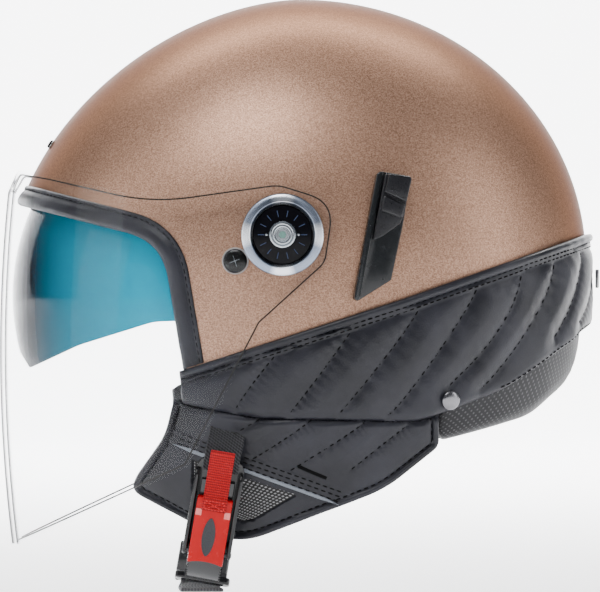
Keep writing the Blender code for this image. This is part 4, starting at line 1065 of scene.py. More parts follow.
# Painted highlight: the punched holes are coloured light grey for the small highlights in them. The same mask
# sinks them.
punch_holes_and_glints = spread(punched, punch.outputs["Distance"], 0.17, 0.24)
old = punched.node_tree.nodes["Principled BSDF"].inputs["Base Color"].links[0].from_socket
mix = node(punched, "Mix", data_type="RGBA")
punched.node_tree.links.new(punch_holes_and_glints, mix.inputs["Factor"])
mix.inputs["A"].default_value = (0.09, 0.09, 0.095, 1)
punched.node_tree.links.new(old, mix.inputs["B"])
feed(punched, "Base Color", mix.outputs["Result"])
grained = punched.node_tree.nodes["Principled BSDF"].inputs["Normal"].links[0].from_socket
feed(punched, "Normal", relief(punched, punch_holes_and_glints, 0.0003, 0.8, grained))
neck_roll.data.materials.append(punched)
belongs(neck_roll, "helmet", "perforated_fabric", "neck_roll")

# ---------------------------------------------------------------------------
# Clear visor. Polycarbonate sheet 2.2 mm thick, formed in one curve round the
# face and cut to shape with eased edges. It swings on the two side pivots.
PIVOT_X, PIVOT_Z = -0.0082, 0.0125
VISOR_WALL = 0.0022
VISOR_REACH = 0.1358
VISOR_OUTSIDE = float(beside(PIVOT_X, PIVOT_Z, RIGHT)[1]) + 0.0060
VISOR_LINE = smooth_line(((-0.170, 0.0331, 0), (-0.1400, 0.0331, 0.002), (-0.1345, 0.0438, 0.004),
                          (-0.1200, 0.0412, 0.05), (-0.0700, 0.0295, 0.10), (-0.0100, 0.0378, 0.02),
                          (0.0180, 0.0290, 0.018), (0.0135, -0.0015, 0.012), (-0.0178, -0.0298, 0),
                          (-0.0440, -0.0800, 0.02), (-0.0528, -0.0970, 0.003), (-0.0797, -0.1094, 0.1),
                          (-0.1340, -0.1345, 0.002), (-0.170, -0.1375, 0)), 14)


VISOR_BOW_MIDDLE = 0.0422
VISOR_BOW_RADIUS = 0.7350


def visor_plan(z, turn, inset):
    """Points of the visor's sheet at a height and a turn from the left side round the front."""
    z, turn = np.broadcast_arrays(z, turn)
    reach = VISOR_REACH - (z + VISOR_BOW_MIDDLE) ** 2 / (2 * VISOR_BOW_RADIUS) - inset
    wide = VISOR_OUTSIDE - inset
    x = PIVOT_X - reach * np.abs(np.cos(turn)) ** (2 / 2.2)
    y = np.sign(turn) * np.abs(np.sin(turn)) ** (2 / 2.2) * wide
    return np.stack([x, y, z], -1)


def bent_sheet(inset):
    """A grid of points over the whole visor and the straight cheeks behind it."""
    turns = np.sign(np.linspace(-1, 1, 161)) * np.abs(np.linspace(-1, 1, 161)) ** 0.9 * math.pi / 2
    heights = np.linspace(0.056, -0.146, 60)
    grid = visor_plan(heights[:, None], turns[None, :], inset)
    tail_x = np.linspace(0.030, PIVOT_X, 12)[:-1]
    tails = []
    for side in (LEFT, RIGHT):
        tail = np.zeros((60, len(tail_x), 3))
        tail[..., 0] = tail_x
        tail[..., 1] = side * (VISOR_OUTSIDE - inset)
        tail[..., 2] = heights[:, None]
        tails.append(tail)
    return np.concatenate([tails[0], grid, tails[1][:, ::-1]], axis=1)


def on_visor(line, side, lift=0.0):
    """The points of the visor's outer face at each (x, z) of a line, on one side."""
    x, z = line[:, 0], line[:, 1]
    reach = VISOR_REACH - (z + VISOR_BOW_MIDDLE) ** 2 / (2 * VISOR_BOW_RADIUS) + lift
    forward = np.clip((PIVOT_X - x) / reach, 0, 1) ** 1.1
    return np.stack([x, side * (1 - forward**2) ** (0.5 / 1.1) * (VISOR_OUTSIDE + lift), z], -1)


visor = two_faced("visor_clear", bent_sheet(0), bent_sheet(VISOR_WALL))
trim_with(visor, side_prism("visor_outline", [tuple(p) for p in VISOR_LINE]), "INTERSECT")


def side_hole(name, x, z, radius, low, high, vertices=48):
    bpy.ops.object.select_all(action="DESELECT")
    bpy.ops.mesh.primitive_cylinder_add(vertices=vertices, radius=radius, depth=high - low,
                                        location=(x, (low + high) / 2, z), rotation=(math.pi / 2, 0, 0))
    obj = bpy.context.object
    obj.name = name
    bpy.ops.object.transform_apply(location=True, rotation=True)
    return obj


trim_with(visor, side_hole("pivot_hole", PIVOT_X, PIVOT_Z, 0.0064, -0.2, 0.2), "DIFFERENCE")
add_modifier(visor, "BEVEL", width=0.0008, segments=3, limit_method="ANGLE", angle_limit=math.radians(50))
apply_all(visor)
tidy(visor, 40)
clear = new_finish("clear_polycarbonate", (0.985, 0.99, 0.995), 0.0, 0.0, 0.12, Transmission_Weight=1.0,
                   IOR=1.0)
# Painted shade: the clear sheet turns nearly black where it is seen edge-on, which draws its outline as a
# dark line.
edge_shade_facing = node(clear, "LayerWeight", Blend=0.5)
painted_edge_shade = spread(clear, edge_shade_facing.outputs["Facing"], 0.83, 0.92)
feed(clear, "Base Color", blend_colours(clear, painted_edge_shade, (0.985, 0.99, 0.995), (0.02, 0.02, 0.024)))
dust = node(clear, "TexNoise", {"Vector": place_of(clear)}, Scale=160, Detail=6)
feed(clear, "Roughness", spread(clear, dust.outputs["Fac"], 0.55, 0.8, 0.0, 0.03))
visor.data.materials.append(clear)
# Painted shade: the clear sheet's cut edges are coloured near black, standing for the dark line that light
# bent through the edge makes. The noise only varies that dark a little.
dark_edge_paint = new_finish("painted_shade_cut_edge", (0.02, 0.02, 0.02), 0.12)
edge_shade_mottle = node(dark_edge_paint, "TexNoise", {"Vector": place_of(dark_edge_paint)}, Scale=900, Detail=2)
feed(dark_edge_paint, "Base Color",
     blend_colours(dark_edge_paint, edge_shade_mottle.outputs["Fac"], (0.010, 0.009, 0.009), (0.035, 0.033, 0.032)))
visor.data.materials.append(dark_edge_paint)
# The faces off the sheet's curve, which are its cut edges, take the painted edge shade.
for face in visor.data.polygons:
    ahead = min(face.center.x - PIVOT_X, 0) / VISOR_REACH
    skin = Vector((math.copysign(abs(ahead) ** 1.2, ahead) / VISOR_REACH,
                   math.copysign(abs(face.center.y / VISOR_OUTSIDE) ** 1.2, face.center.y) / VISOR_OUTSIDE,
                   0))
    face.material_index = int(abs(skin.normalized().dot(face.normal)) < 0.97)
belongs(visor, "visor", "clear_sheet", "visor")


# Painted shade: a thin dark strip on the visor's face, just inside its outline, stands for the line of shadow
# and refraction along the edge.
SHADE_LINE_INSET = 0.0016


def shade_line_path(inset):
    line = beside_line(VISOR_LINE, -inset)
    front = PIVOT_X - VISOR_REACH + (line[:, 1] + 0.0422) ** 2 / (2 * 0.7350) + inset
    return even(line[line[:, 0] > front + 0.0004], 460)


for label, side in SIDES:
    rim = grid_piece("visor_painted_shade_line_" + label, [on_visor(shade_line_path(SHADE_LINE_INSET), side, 0.00012),
                                                 on_visor(shade_line_path(SHADE_LINE_INSET + 0.0007), side, 0.00012)])
    face_out(rim)
    thicken(rim, 0.0003)
    rim.data.materials.append(dark_edge_paint)
    belongs(rim, "visor", "clear_sheet")

# ---------------------------------------------------------------------------
# Sun visor. A 2 mm tinted polycarbonate lens with a blue mirror coat, nearly
# black at the front, that drops out of a pocket in the liner.
SUN_X, SUN_Z = -0.0336, -0.0163
SUN_RADIUS = 0.1045
SUN_HALF_WIDTH = 0.1020
SUN_LOW = smooth_line(((-0.170, -0.0700, 0), (-0.1075, -0.0403, 0.05), (-0.0700, -0.0285, 0.04),
                       (SUN_X, SUN_Z - 0.0112, 0)), 16)


def lens_grid(inset, round_turns, side_turns):
    a = np.asarray(side_turns)[None, :]
    t = np.asarray(round_turns)[:, None]
    reach = (SUN_RADIUS - inset) * np.abs(np.cos(a)) ** (2 / 1.95)
    y = np.sign(a) * np.abs(np.sin(a)) ** (2 / 1.95) * (SUN_HALF_WIDTH - inset)
    return np.stack([SUN_X - reach * np.cos(t), np.broadcast_to(y, (len(t), a.shape[1])),
                     SUN_Z + reach * np.sin(t)], -1)


side_turns = np.linspace(-math.pi / 2 + 0.02, math.pi / 2 - 0.02, 150)
round_turns = np.linspace(math.radians(-40), math.radians(50), 70)
lens = two_faced("sun_visor_lens", lens_grid(0, round_turns, side_turns),
                 lens_grid(0.002, round_turns, side_turns))
hub = [(SUN_X + 0.0112 * math.cos(a), SUN_Z + 0.0112 * math.sin(a)) for a in np.linspace(-1.5, 1.5, 14)]
lens_top = beside_line(FACE_EDGE, 0.0045)
lens_top = lens_top[lens_top[:, 1] > 0.0050][::-1]
trim_with(lens, side_prism("lens_outline",
                           [*map(tuple, SUN_LOW), *hub, (SUN_X, SUN_Z + 0.0112), *map(tuple, lens_top)]),
          "INTERSECT")
bpy.ops.object.select_all(action="DESELECT")
bpy.ops.mesh.primitive_cylinder_add(vertices=64, radius=0.035, depth=0.12, location=(-0.14, 0, -0.0775),
                                    rotation=(0, math.pi / 2, 0))
nose = bpy.context.object
bpy.ops.object.transform_apply(location=True, rotation=True)
trim_with(lens, nose, "DIFFERENCE")
add_modifier(lens, "BEVEL", width=0.0004, segments=2, limit_method="ANGLE", angle_limit=math.radians(50))
apply_all(lens)
tidy(lens, 40)
tint = new_finish("blue_mirror_lens", (0.0, 0.2, 0.3), 0.22, 0.0, 0.0, Specular_IOR_Level=0.12)
across_lens = node(tint, "SeparateXYZ", {"Vector": place_of(tint)})
forward = spread(tint, across_lens.outputs["X"], -0.128, -0.074)
depths = node(tint, "ValToRGB", {"Fac": forward})
ramp = depths.color_ramp
ramp.elements[0].color = (0.003, 0.007, 0.013, 1)
ramp.elements[1].color = (0.0, 0.27, 0.40, 1)
middle = ramp.elements.new(0.35)
middle.color = (0.0, 0.13, 0.20, 1)
feed(tint, "Base Color", depths.outputs["Color"])
film = node(tint, "TexNoise", {"Vector": place_of(tint)}, Scale=30, Detail=2)
feed(tint, "Roughness", spread(tint, film.outputs["Fac"], 0.3, 0.7, 0.05, 0.09))
lens.data.materials.append(tint)
belongs(lens, "sun_visor", "sun_lens", "sun_visor")

# ---------------------------------------------------------------------------
# Visor pivots, one each side. A black plastic seat, a turned aluminium ring,
# a glossy black insert with fine dark blue marks, and a bright centre bolt.
def lathe(name, profile, place, steps=96):
    """A profile of (radius, height) points spun round its own axis and put in place."""
    bpy.ops.object.select_all(action="DESELECT")
    bpy.ops.mesh.primitive_circle_add(vertices=3, radius=0.01)
    obj = bpy.context.object
    obj.name = name
    line = bmesh.new()
    dots = [line.verts.new((radius, 0, height)) for radius, height in profile]
    for a, b in zip(dots, dots[1:]):
        line.edges.new((a, b))
    line.to_mesh(obj.data)
    line.free()
    only(obj)
    bpy.ops.object.mode_set(mode="EDIT")
    bpy.ops.mesh.select_mode(type="VERT")
    bpy.ops.mesh.select_all(action="SELECT")
    bpy.ops.mesh.spin(steps=steps, angle=2 * math.pi, center=(0, 0, 0), axis=(0, 0, 1))
    edit_done()
    obj.data.transform(place)
    return tidy(obj, 28)


def frame_at(point, out, up=(0, 0, 1)):
    """A matrix whose local Z looks out and whose local Y is as near up as it can be."""
    out = Vector(out).normalized()
    across = Vector(up).cross(out).normalized()
    return Matrix.Translation(point) @ Matrix((across, out.cross(across), out)).transposed().to_4x4()


def cut_sheet(name, outline, low, high, place, bevel=0.0003, segments=2):
    """A flat outline of (across, along) points drawn out between two heights, with eased edges."""
    bpy.ops.object.select_all(action="DESELECT")
    bpy.ops.mesh.primitive_circle_add(vertices=len(outline), fill_type="NGON")
    obj = bpy.context.object
    obj.name = name
    for vertex, (a, b) in zip(obj.data.vertices, outline):
        vertex.co = (a, b, low)
    edit_whole()
    bpy.ops.mesh.extrude_region_move(TRANSFORM_OT_translate={"value": (0, 0, high - low)})
    bpy.ops.mesh.select_all(action="SELECT")
    bpy.ops.mesh.normals_make_consistent(inside=False)
    edit_done()
    if bevel:
        add_modifier(obj, "BEVEL", width=bevel, segments=segments, limit_method="ANGLE",
                     angle_limit=math.radians(25))
        apply_all(obj)
    obj.data.transform(place)
    return tidy(obj, 32)


def joined(name, *parts):
    only(parts[0])
    for part in parts[1:]:
        part.select_set(True)
    bpy.ops.object.join()
    parts[0].name = name
    return parts[0]


def block(a0, a1, b0, b1):
    return ((a0, b0), (a1, b0), (a1, b1), (a0, b1))


turned_metal = new_finish("turned_aluminium", (0.72, 0.75, 0.80), 0.22, 1.0, Anisotropic=0.85)
swirl_at = node(turned_metal, "Mapping", {"Vector": node(turned_metal, "TexCoord").outputs["Object"]})
swirl_at.inputs["Location"].default_value = (-PIVOT_X, 0, -PIVOT_Z)
swirl_flat = node(turned_metal, "VectorMath", {0: swirl_at.outputs["Vector"]}, operation="MULTIPLY")
swirl_flat.inputs[1].default_value = (1, 0, 1)
swirl = node(turned_metal, "VectorMath", {0: swirl_flat.outputs["Vector"]}, operation="LENGTH")
lines = node(turned_metal, "TexNoise", {"W": swirl.outputs["Value"]}, noise_dimensions="1D", Scale=6000,
             Detail=4)
groove = node(turned_metal, "VectorMath", {0: swirl_flat.outputs["Vector"]}, operation="CROSS_PRODUCT")
groove.inputs[1].default_value = (0, 1, 0)
feed(turned_metal, "Tangent", groove.outputs["Vector"])
feed(turned_metal, "Roughness", spread(turned_metal, lines.outputs["Fac"], 0.3, 0.7, 0.20, 0.34))
# Painted highlight: four bright sectors round the ring, taken from the angle about the pivot, stand for the
# streaks of light on turned metal. The fine turning lines mixed in are the metal's own.
parts_of = node(turned_metal, "SeparateXYZ", {"Vector": swirl_flat.outputs["Vector"]})
turn_at = node(turned_metal, "Math", {0: parts_of.outputs["Z"], 1: parts_of.outputs["X"]},
               operation="ARCTAN2")
four_ways = node(turned_metal, "Math", {0: turn_at.outputs["Value"]}, operation="MULTIPLY")
four_ways.inputs[1].default_value = 4
painted_streak_sweep = node(turned_metal, "Math", {0: four_ways.outputs["Value"]}, operation="COSINE")
grooves_and_painted_streaks = node(turned_metal, "Math",
            {0: lines.outputs["Fac"], 2: spread(turned_metal, painted_streak_sweep.outputs["Value"], 0.15, 1.0)},
            operation="MULTIPLY_ADD")
grooves_and_painted_streaks.inputs[1].default_value = 0.25
feed(turned_metal, "Base Color",
     blend_colours(turned_metal, grooves_and_painted_streaks.outputs["Value"], (0.16, 0.20, 0.28), (0.86, 0.89, 0.94)))
feed(turned_metal, "Normal", relief(turned_metal, lines.outputs["Fac"], 0.00003, 0.35))


def speckled(name, colour, rough, grain_scale, depth, metallic=0.0, coat=0.0, lighter=1.6, shine=0.5):
    """Moulded plastic or cast metal with a fine even grain."""
    made = new_finish(name, colour, rough, metallic, coat, Coat_Roughness=0.08, Specular_IOR_Level=shine)
    specks = node(made, "TexNoise", {"Vector": place_of(made)}, Scale=grain_scale, Detail=3)
    bright = tuple(min(c * lighter, 1) for c in colour)
    feed(made, "Base Color", blend_colours(made, specks.outputs["Fac"], colour, bright))
    feed(made, "Roughness",
         spread(made, specks.outputs["Fac"], 0.3, 0.7, max(rough - 0.04, 0.01), rough + 0.05))
    feed(made, "Normal", relief(made, specks.outputs["Fac"], depth, 0.5))
    return made


gloss_black = speckled("gloss_black_insert", (0.002, 0.002, 0.003), 0.16, 90, 0.000004, shine=0.10)
mark_blue = speckled("dark_blue_marks", (0.010, 0.022, 0.060), 0.35, 300, 0.00001)
bright_steel = speckled("bright_bolt_steel", (0.36, 0.39, 0.41), 0.20, 700, 0.000006, metallic=1.0)
green_steel = speckled("greenish_socket", (0.16, 0.30, 0.26), 0.30, 1200, 0.00003, metallic=0.9)
seat_plastic = speckled("black_seat_plastic", (0.010, 0.009, 0.009), 0.42, 900, 0.00004)
plain_steel = speckled("plain_steel", (0.38, 0.38, 0.39), 0.32, 1400, 0.00004, metallic=1.0)

for label, side in SIDES:
    face = VISOR_OUTSIDE + 0.0004
    at_face = frame_at((PIVOT_X, side * face, PIVOT_Z), (0, side, 0))
    ring = lathe("pivot_ring_" + label + "_turned",
                 ((0.0142, 0.0), (0.0192, 0.0), (0.0194, 0.0003), (0.0194, 0.0019), (0.0191, 0.0024),
                  (0.0187, 0.0027),
                  (0.0161, 0.0034), (0.0157, 0.0034), (0.0154, 0.0032), (0.0145, 0.0018), (0.0142, 0.0014),
                  (0.0142, 0.0)), at_face, 128)
    ring.data.materials.append(turned_metal)
    belongs(ring, "helmet", "aluminium_ring", "pivot_ring_" + label)
    insert = lathe("pivot_insert_" + label,
                   ((0.0034, 0.0), (0.0139, 0.0), (0.0139, 0.0008), (0.0136, 0.0012), (0.0130, 0.0014),
                    (0.0080, 0.0021),
                    (0.0070, 0.0024), (0.0034, 0.0024), (0.0034, 0.0)), at_face, 96)
    insert.data.materials.append(gloss_black)
    belongs(insert, "helmet", "gloss_black", "pivot_cap_" + label)
    marks = []
    for k in range(14):
        spoke = Matrix.Rotation(2 * math.pi * (k + 0.5) / 14, 4, "Z")
        marks.append(cut_sheet("mark",
                               ((-0.00016, 0.0085), (0.00016, 0.0085), (0.00020, 0.0116), (-0.00020, 0.0116)),
                               0.0013, 0.0021, at_face @ spoke, 0))
    marks = joined("pivot_marks_" + label, *marks)
    marks.data.materials.append(mark_blue)
    belongs(marks, "helmet", "gloss_black")
    at_head = frame_at((PIVOT_X, side * (face + 0.0028), PIVOT_Z), (0, side, 0))
    bolt = lathe("pivot_bolt_" + label + "_head",
                 ((0, -0.0160), (0.0030, -0.0160), (0.0030, -0.0004), (0.0062, 0.0), (0.0064, 0.0004),
                  (0.0064, 0.0010),
                  (0.0061, 0.0015), (0.0056, 0.0016), (0.0052, 0.0011), (0.0048, 0.0010), (0.0045, 0.0015),
                  (0.0040, 0.0016), (0.0036, 0.0015), (0.0033, 0.0010), (0.0028, 0.0010), (0.0026, 0.0014),
                  (0, 0.0014)),
                 at_head, 72)
    socket = cut_sheet("socket_" + label, [(0.0019 * math.cos(a), 0.0019 * math.sin(a)) for a in
                                           np.linspace(0, 2 * math.pi, 7)[:-1]], 0.0006, 0.0030, at_head, 0)
    trim_with(bolt, socket, "DIFFERENCE")
    tidy(bolt, 28)
    bolt.data.materials.append(bright_steel)
    belongs(bolt, "helmet", "bright_bolt", "pivot_bolt_" + label)
    core = cut_sheet("pivot_socket_" + label, [(0.00182 * math.cos(a), 0.00182 * math.sin(a)) for a in
                                               np.linspace(0, 2 * math.pi, 7)[:-1]], 0.0007, 0.0011, at_head,
                     0.0001, 1)
    core.data.materials.append(green_steel)
    belongs(core, "helmet", "bright_bolt")
    for number, lug in enumerate((-0.0075, 0.0075)):
        stud = lathe("pivot_lug_" + label + "_" + str(number),
                     ((0, 0.0035), (0.0004, 0.0034), (0.0007, 0.0030), (0.0007, 0.0019), (0, 0.0019)),
                     at_face @ Matrix.Translation((lug, 0, 0)), 24)
        stud.data.materials.append(bright_steel)
        belongs(stud, "helmet", "bright_bolt")
    seat_top = float(beside(PIVOT_X, PIVOT_Z, RIGHT)[1]) + 0.0026
    seat = lathe("pivot_base_" + label + "_seat",
                 ((0.0036, -0.0012), (0.0178, -0.0034), (0.0187, -0.0030), (0.0187, -0.0008),
                  (0.0184, -0.0002),
                  (0.0178, 0.0), (0.0110, 0.0), (0.0108, -0.0006), (0.0036, -0.0006), (0.0036, -0.0012)),
                 frame_at((PIVOT_X, side * seat_top, PIVOT_Z), (0, side, 0)))
    seat.data.materials.append(seat_plastic)
    belongs(seat, "helmet", "black_plastic", "pivot_base_" + label)

for label, side in SIDES:
    for name in ("spring_washer_", "pivot_bush_", "pivot_nut_", "sun_hinge_pin_", "strap_anchor_"):
        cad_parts[name + label].data.materials.clear()
        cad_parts[name + label].data.materials.append(plain_steel)
    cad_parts["sun_hinge_plate_" + label].data.materials.clear()
    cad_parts["sun_hinge_plate_" + label].data.materials.append(seat_plastic)

# ---------------------------------------------------------------------------
# Side screws. Glossy black heads under the visor in front of each pivot, with a
# cross cut in the head. A bright steel countersunk ring round each head and
# bright steel bars in the cross are painted highlights on their edges.
SCREW_X, SCREW_Z = -0.0304, 0.0002
screw_black = speckled("black_screw_lacquer", (0.004, 0.004, 0.004), 0.14, 300, 0.000004, shine=0.35)
for label, side in SIDES:
    point = beside(SCREW_X, SCREW_Z, side)
    at_screw = frame_at(Vector(point), Vector(outwards(point[None])[0]))
    head = lathe("side_screw_" + label + "_head",
                 ((0, -0.0088), (0.0020, -0.0088), (0.0020, 0.0002), (0.0052, 0.0003), (0.0056, 0.0008),
                  (0.0054, 0.0014),
                  (0.0048, 0.0019), (0.0036, 0.0022), (0, 0.0023)), at_screw, 64)
    for turn in (0.35, 0.35 + math.pi / 2):
        slot = cut_sheet("slot", block(-0.0030, 0.0030, -0.00045, 0.00045), 0.0013, 0.0040,
                         at_screw @ Matrix.Rotation(turn, 4, "Z"), 0)
        trim_with(head, slot, "DIFFERENCE")
    tidy(head, 28)
    # Painted highlight: two bright steel bars lie in the cross slot for the light along its edges.
    cross = []
    for turn in (0.35, 0.35 + math.pi / 2):
        cross.append(cut_sheet("bar", block(-0.0028, 0.0028, -0.00022, 0.00022), 0.0010, 0.0020,
                               at_screw @ Matrix.Rotation(turn, 4, "Z"), 0.0001, 1))
    cross = joined("side_screw_" + label + "_cross", *cross)
    cross.data.materials.append(bright_steel)
    belongs(cross, "helmet", "steel")
    head.data.materials.append(screw_black)
    belongs(head, "helmet", "gloss_black", "side_screw_" + label)
    # Painted highlight: a bright steel ring round the head for the light on the countersunk edge.
    collar = lathe("side_screw_" + label + "_ring",
                   ((0.0057, 0.0002), (0.0063, 0.0002), (0.0064, 0.0005), (0.0062, 0.0009), (0.0058, 0.0009),
                    (0.0057, 0.0002)),
                   at_screw, 64)
    collar.data.materials.append(plain_steel)
    belongs(collar, "helmet", "steel")

# ---------------------------------------------------------------------------
# Sun visor slider on the left. A black moulded rail and cover are set in the
# shell; a knob with a raised grip slides down them and raises the sun visor.
SLIDER_X, SLIDER_Z = 0.0389, 0.0115
slider_lean = math.radians(11.75)
point = beside(SLIDER_X, SLIDER_Z, LEFT)
slider_up = Vector((math.sin(slider_lean), 0, math.cos(slider_lean)))
at_slider = frame_at(Vector(point), Vector(outwards(point[None])[0]), slider_up)
cover_black = speckled("black_cover_plastic", (0.005, 0.006, 0.007), 0.24, 300, 0.00002, shine=0.5)
grip_black = speckled("grained_grip_plastic", (0.004, 0.004, 0.005), 0.30, 1300, 0.00022, lighter=3.0,
                      shine=0.4)
BASE_PLATE = ((-0.0087, 0.0283), (-0.0070, 0.0302), (0.0076, 0.0308), (0.0084, 0.0120),
              (0.0084, 0.0060), (0.0076, -0.0193), (-0.0065, -0.0323), (-0.0087, -0.0315))
rail = cut_sheet("slider_rail", BASE_PLATE, -0.0015, 0.0012, at_slider, 0.0005, 3)
spine = cut_sheet("slider_spine", ((-0.0087, 0.0285), (-0.0072, 0.0300), (-0.0060, 0.0300), (-0.0056, 0.0290),
                                   (-0.0056, -0.0300), (-0.0064, -0.0320), (-0.0080, -0.0322),
                                   (-0.0087, -0.0312)),
                  0.0002, 0.0029, at_slider, 0.0006, 3)
upper_cover = cut_sheet("slider_cover_upper",
                        ((-0.0051, -0.0030), (0.0079, 0.0082), (0.0083, 0.0050), (0.0080, -0.0048),
                                               (-0.0051, -0.0172)), 0.0006, 0.0025, at_slider, 0.0007, 3)
lower_cover = cut_sheet("slider_cover_lower", ((-0.0051, -0.0178), (0.0080, -0.0054), (0.0076, -0.0190),
                                               (-0.0051, -0.0308)), 0.0006, 0.0021, at_slider, 0.0007, 3)
bed = joined("slider_base_moulding", rail, spine, upper_cover, lower_cover)
bed.data.materials.append(cover_black)
belongs(bed, "helmet", "black_plastic", "slider_base")
plinth = cut_sheet("knob_plinth", ((-0.0052, 0.0290), (0.0066, 0.0298), (0.0074, 0.0130), (0.0062, 0.0075),
                                   (-0.0010, -0.0002), (-0.0052, -0.0030)), 0.0030, 0.0056, at_slider, 0.0006,
                   3)
grip = cut_sheet("knob_grip",
                 ((-0.0044, 0.0202), (0.0068, 0.0176), (0.0073, 0.0290), (0.0064, 0.0298), (-0.0040, 0.0290)),
                 0.0040, 0.0080, at_slider, 0.0009, 3)
finger_step = cut_sheet("knob_step",
                        ((-0.0044, 0.0112), (0.0064, 0.0098), (0.0068, 0.0166), (-0.0042, 0.0190)),
                        0.0040, 0.0066, at_slider, 0.0009, 3)
stem = cut_sheet("knob_stem", block(-0.0015, 0.0015, 0.0100, 0.0180), -0.0056, 0.0035, at_slider, 0.0002, 1)
knob = joined("slider_knob_moulding", plinth, grip, finger_step, stem)
knob.data.materials.append(grip_black)
belongs(knob, "slider", "black_plastic", "slider_knob")
for name in ("slider_shoe", "drive_cable"):
    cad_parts[name].data.materials.clear()
    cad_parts[name].data.materials.append(seat_plastic)
for piece in (bed, shell):
    trim_with(piece, cut_sheet("slot", block(-0.0020, 0.0020, -0.0126, 0.0186), -0.02, 0.02, at_slider, 0),
              "DIFFERENCE")
tidy(bed, 32)
only(shell)
bpy.ops.object.shade_smooth_by_angle(angle=math.radians(30))

# ---------------------------------------------------------------------------
# Snap studs, rear tag and brow badge. Two steel press studs hold the apron's
# lower corners; a satin metal tag sits on the back and a small plain plastic
# plate on the brow.
STUD_X, STUD_Z = 0.0710, -0.0655
satin_metal = speckled("satin_metal", (0.16, 0.16, 0.17), 0.24, 400, 0.00001, metallic=1.0)
for label, side in SIDES:
    point = beside(STUD_X, STUD_Z, side, 0.0042)
    stud = lathe("snap_stud_" + label + "_cap",
                 ((0, -0.0030), (0.0016, -0.0030), (0.0016, 0.0003), (0.0042, 0.0003), (0.0046, 0.0006),
                  (0.0046, 0.0010),
                  (0.0041, 0.0016), (0.0030, 0.0021), (0.0016, 0.0023), (0, 0.0024)),
                 frame_at(Vector(point), Vector(outwards(point[None])[0])), 48)
    stud.data.materials.append(satin_metal)
    belongs(stud, "helmet", "steel", "snap_stud_" + label)

tag_outline = block(-0.0110, 0.0110, -0.0045, 0.0045)
at_tag = frame_at((SHELL_REAR + 0.0046, 0, -0.0080), (1, 0, 0))
tag = cut_sheet("rear_tag_plate", tag_outline, 0.0, 0.0014, at_tag, 0.0006, 3)
tag.data.materials.append(plain_steel)
belongs(tag, "helmet", "steel", "rear_tag")

badge_rows = [on_surface(np.array([(-0.11, y, z) for y in np.linspace(-0.012, 0.012, 25)]), lift)
              for z, lift in ((0.0498, 0.0005), (0.0500, 0.0011), (0.0505, 0.0015), (0.0520, 0.0016),
                              (0.0535, 0.0015),
                              (0.0540, 0.0011), (0.0542, 0.0005), (0.0520, 0.0004), (0.0498, 0.0005))]
badge = grid_piece("brow_badge_plate", badge_rows, closed=True)
only(badge)
bpy.ops.object.mode_set(mode="EDIT")
bpy.ops.mesh.select_mode(type="VERT")
bpy.ops.mesh.select_all(action="SELECT")
bpy.ops.mesh.fill_holes(sides=0)
edit_done()
tidy(badge, 40)
badge.data.materials.append(screw_black)
belongs(badge, "helmet", "gloss_black", "brow_badge")

# ---------------------------------------------------------------------------
# Chin straps. Black polyester webbing, woven in fine diagonal ribs, riveted to
# the shell on both sides. The left one ends under the buckle; the right one
# runs round under the chin to the ladder lock, over a soft strap pad.
def eased(route, count, rounds=3):
    """A route of 3-D points with its corners rounded off."""
    line = even(np.array([tuple(p) for p in route]), count)
    for _ in range(rounds):
        line[1:-1] = (line[:-2] + 2 * line[1:-1] + line[2:]) / 4
    return line


def ribbon(name, line, across, width, thickness):
    """A flat strap along a line of points, with rounded edges and a UV map in metres."""
    line = np.asarray(line, float)
    across = np.broadcast_to(np.asarray(across, float), line.shape)
    ahead = np.gradient(line, axis=0)
    outer = np.cross(ahead, across)
    outer /= np.linalg.norm(outer, axis=1, keepdims=True)
    section = []
    for a in np.linspace(-1, 1, 9):
        section.append((a * 0.96, 1.0))
    section += [(1.0, 0.6), (1.0, -0.6)]
    for a in np.linspace(1, -1, 9):
        section.append((a * 0.96, -1.0))
    section += [(-1.0, -0.6), (-1.0, 0.6), section[0]]
    section = np.array(section) * (width / 2, thickness / 2)
    rows = line[:, None] + across[:, None] * section[None, :, :1] + outer[:, None] * section[None, :, 1:]
    obj = grid_piece(name, rows)
    run = np.concatenate([[0], np.cumsum(np.linalg.norm(np.diff(line, axis=0), axis=1))])
    lay_flat(obj, *np.broadcast_arrays(section[None, :, 0], run[:, None]))
    only(obj)
    bpy.ops.object.mode_set(mode="EDIT")
    bpy.ops.mesh.select_mode(type="VERT")
    bpy.ops.mesh.select_all(action="SELECT")
    bpy.ops.mesh.remove_doubles(threshold=1e-6)
    bpy.ops.mesh.fill_holes(sides=0)
    bpy.ops.mesh.select_all(action="SELECT")
    bpy.ops.mesh.normals_make_consistent(inside=False)
    edit_done()
    bpy.ops.object.shade_smooth_by_angle(angle=math.radians(45))
    return obj


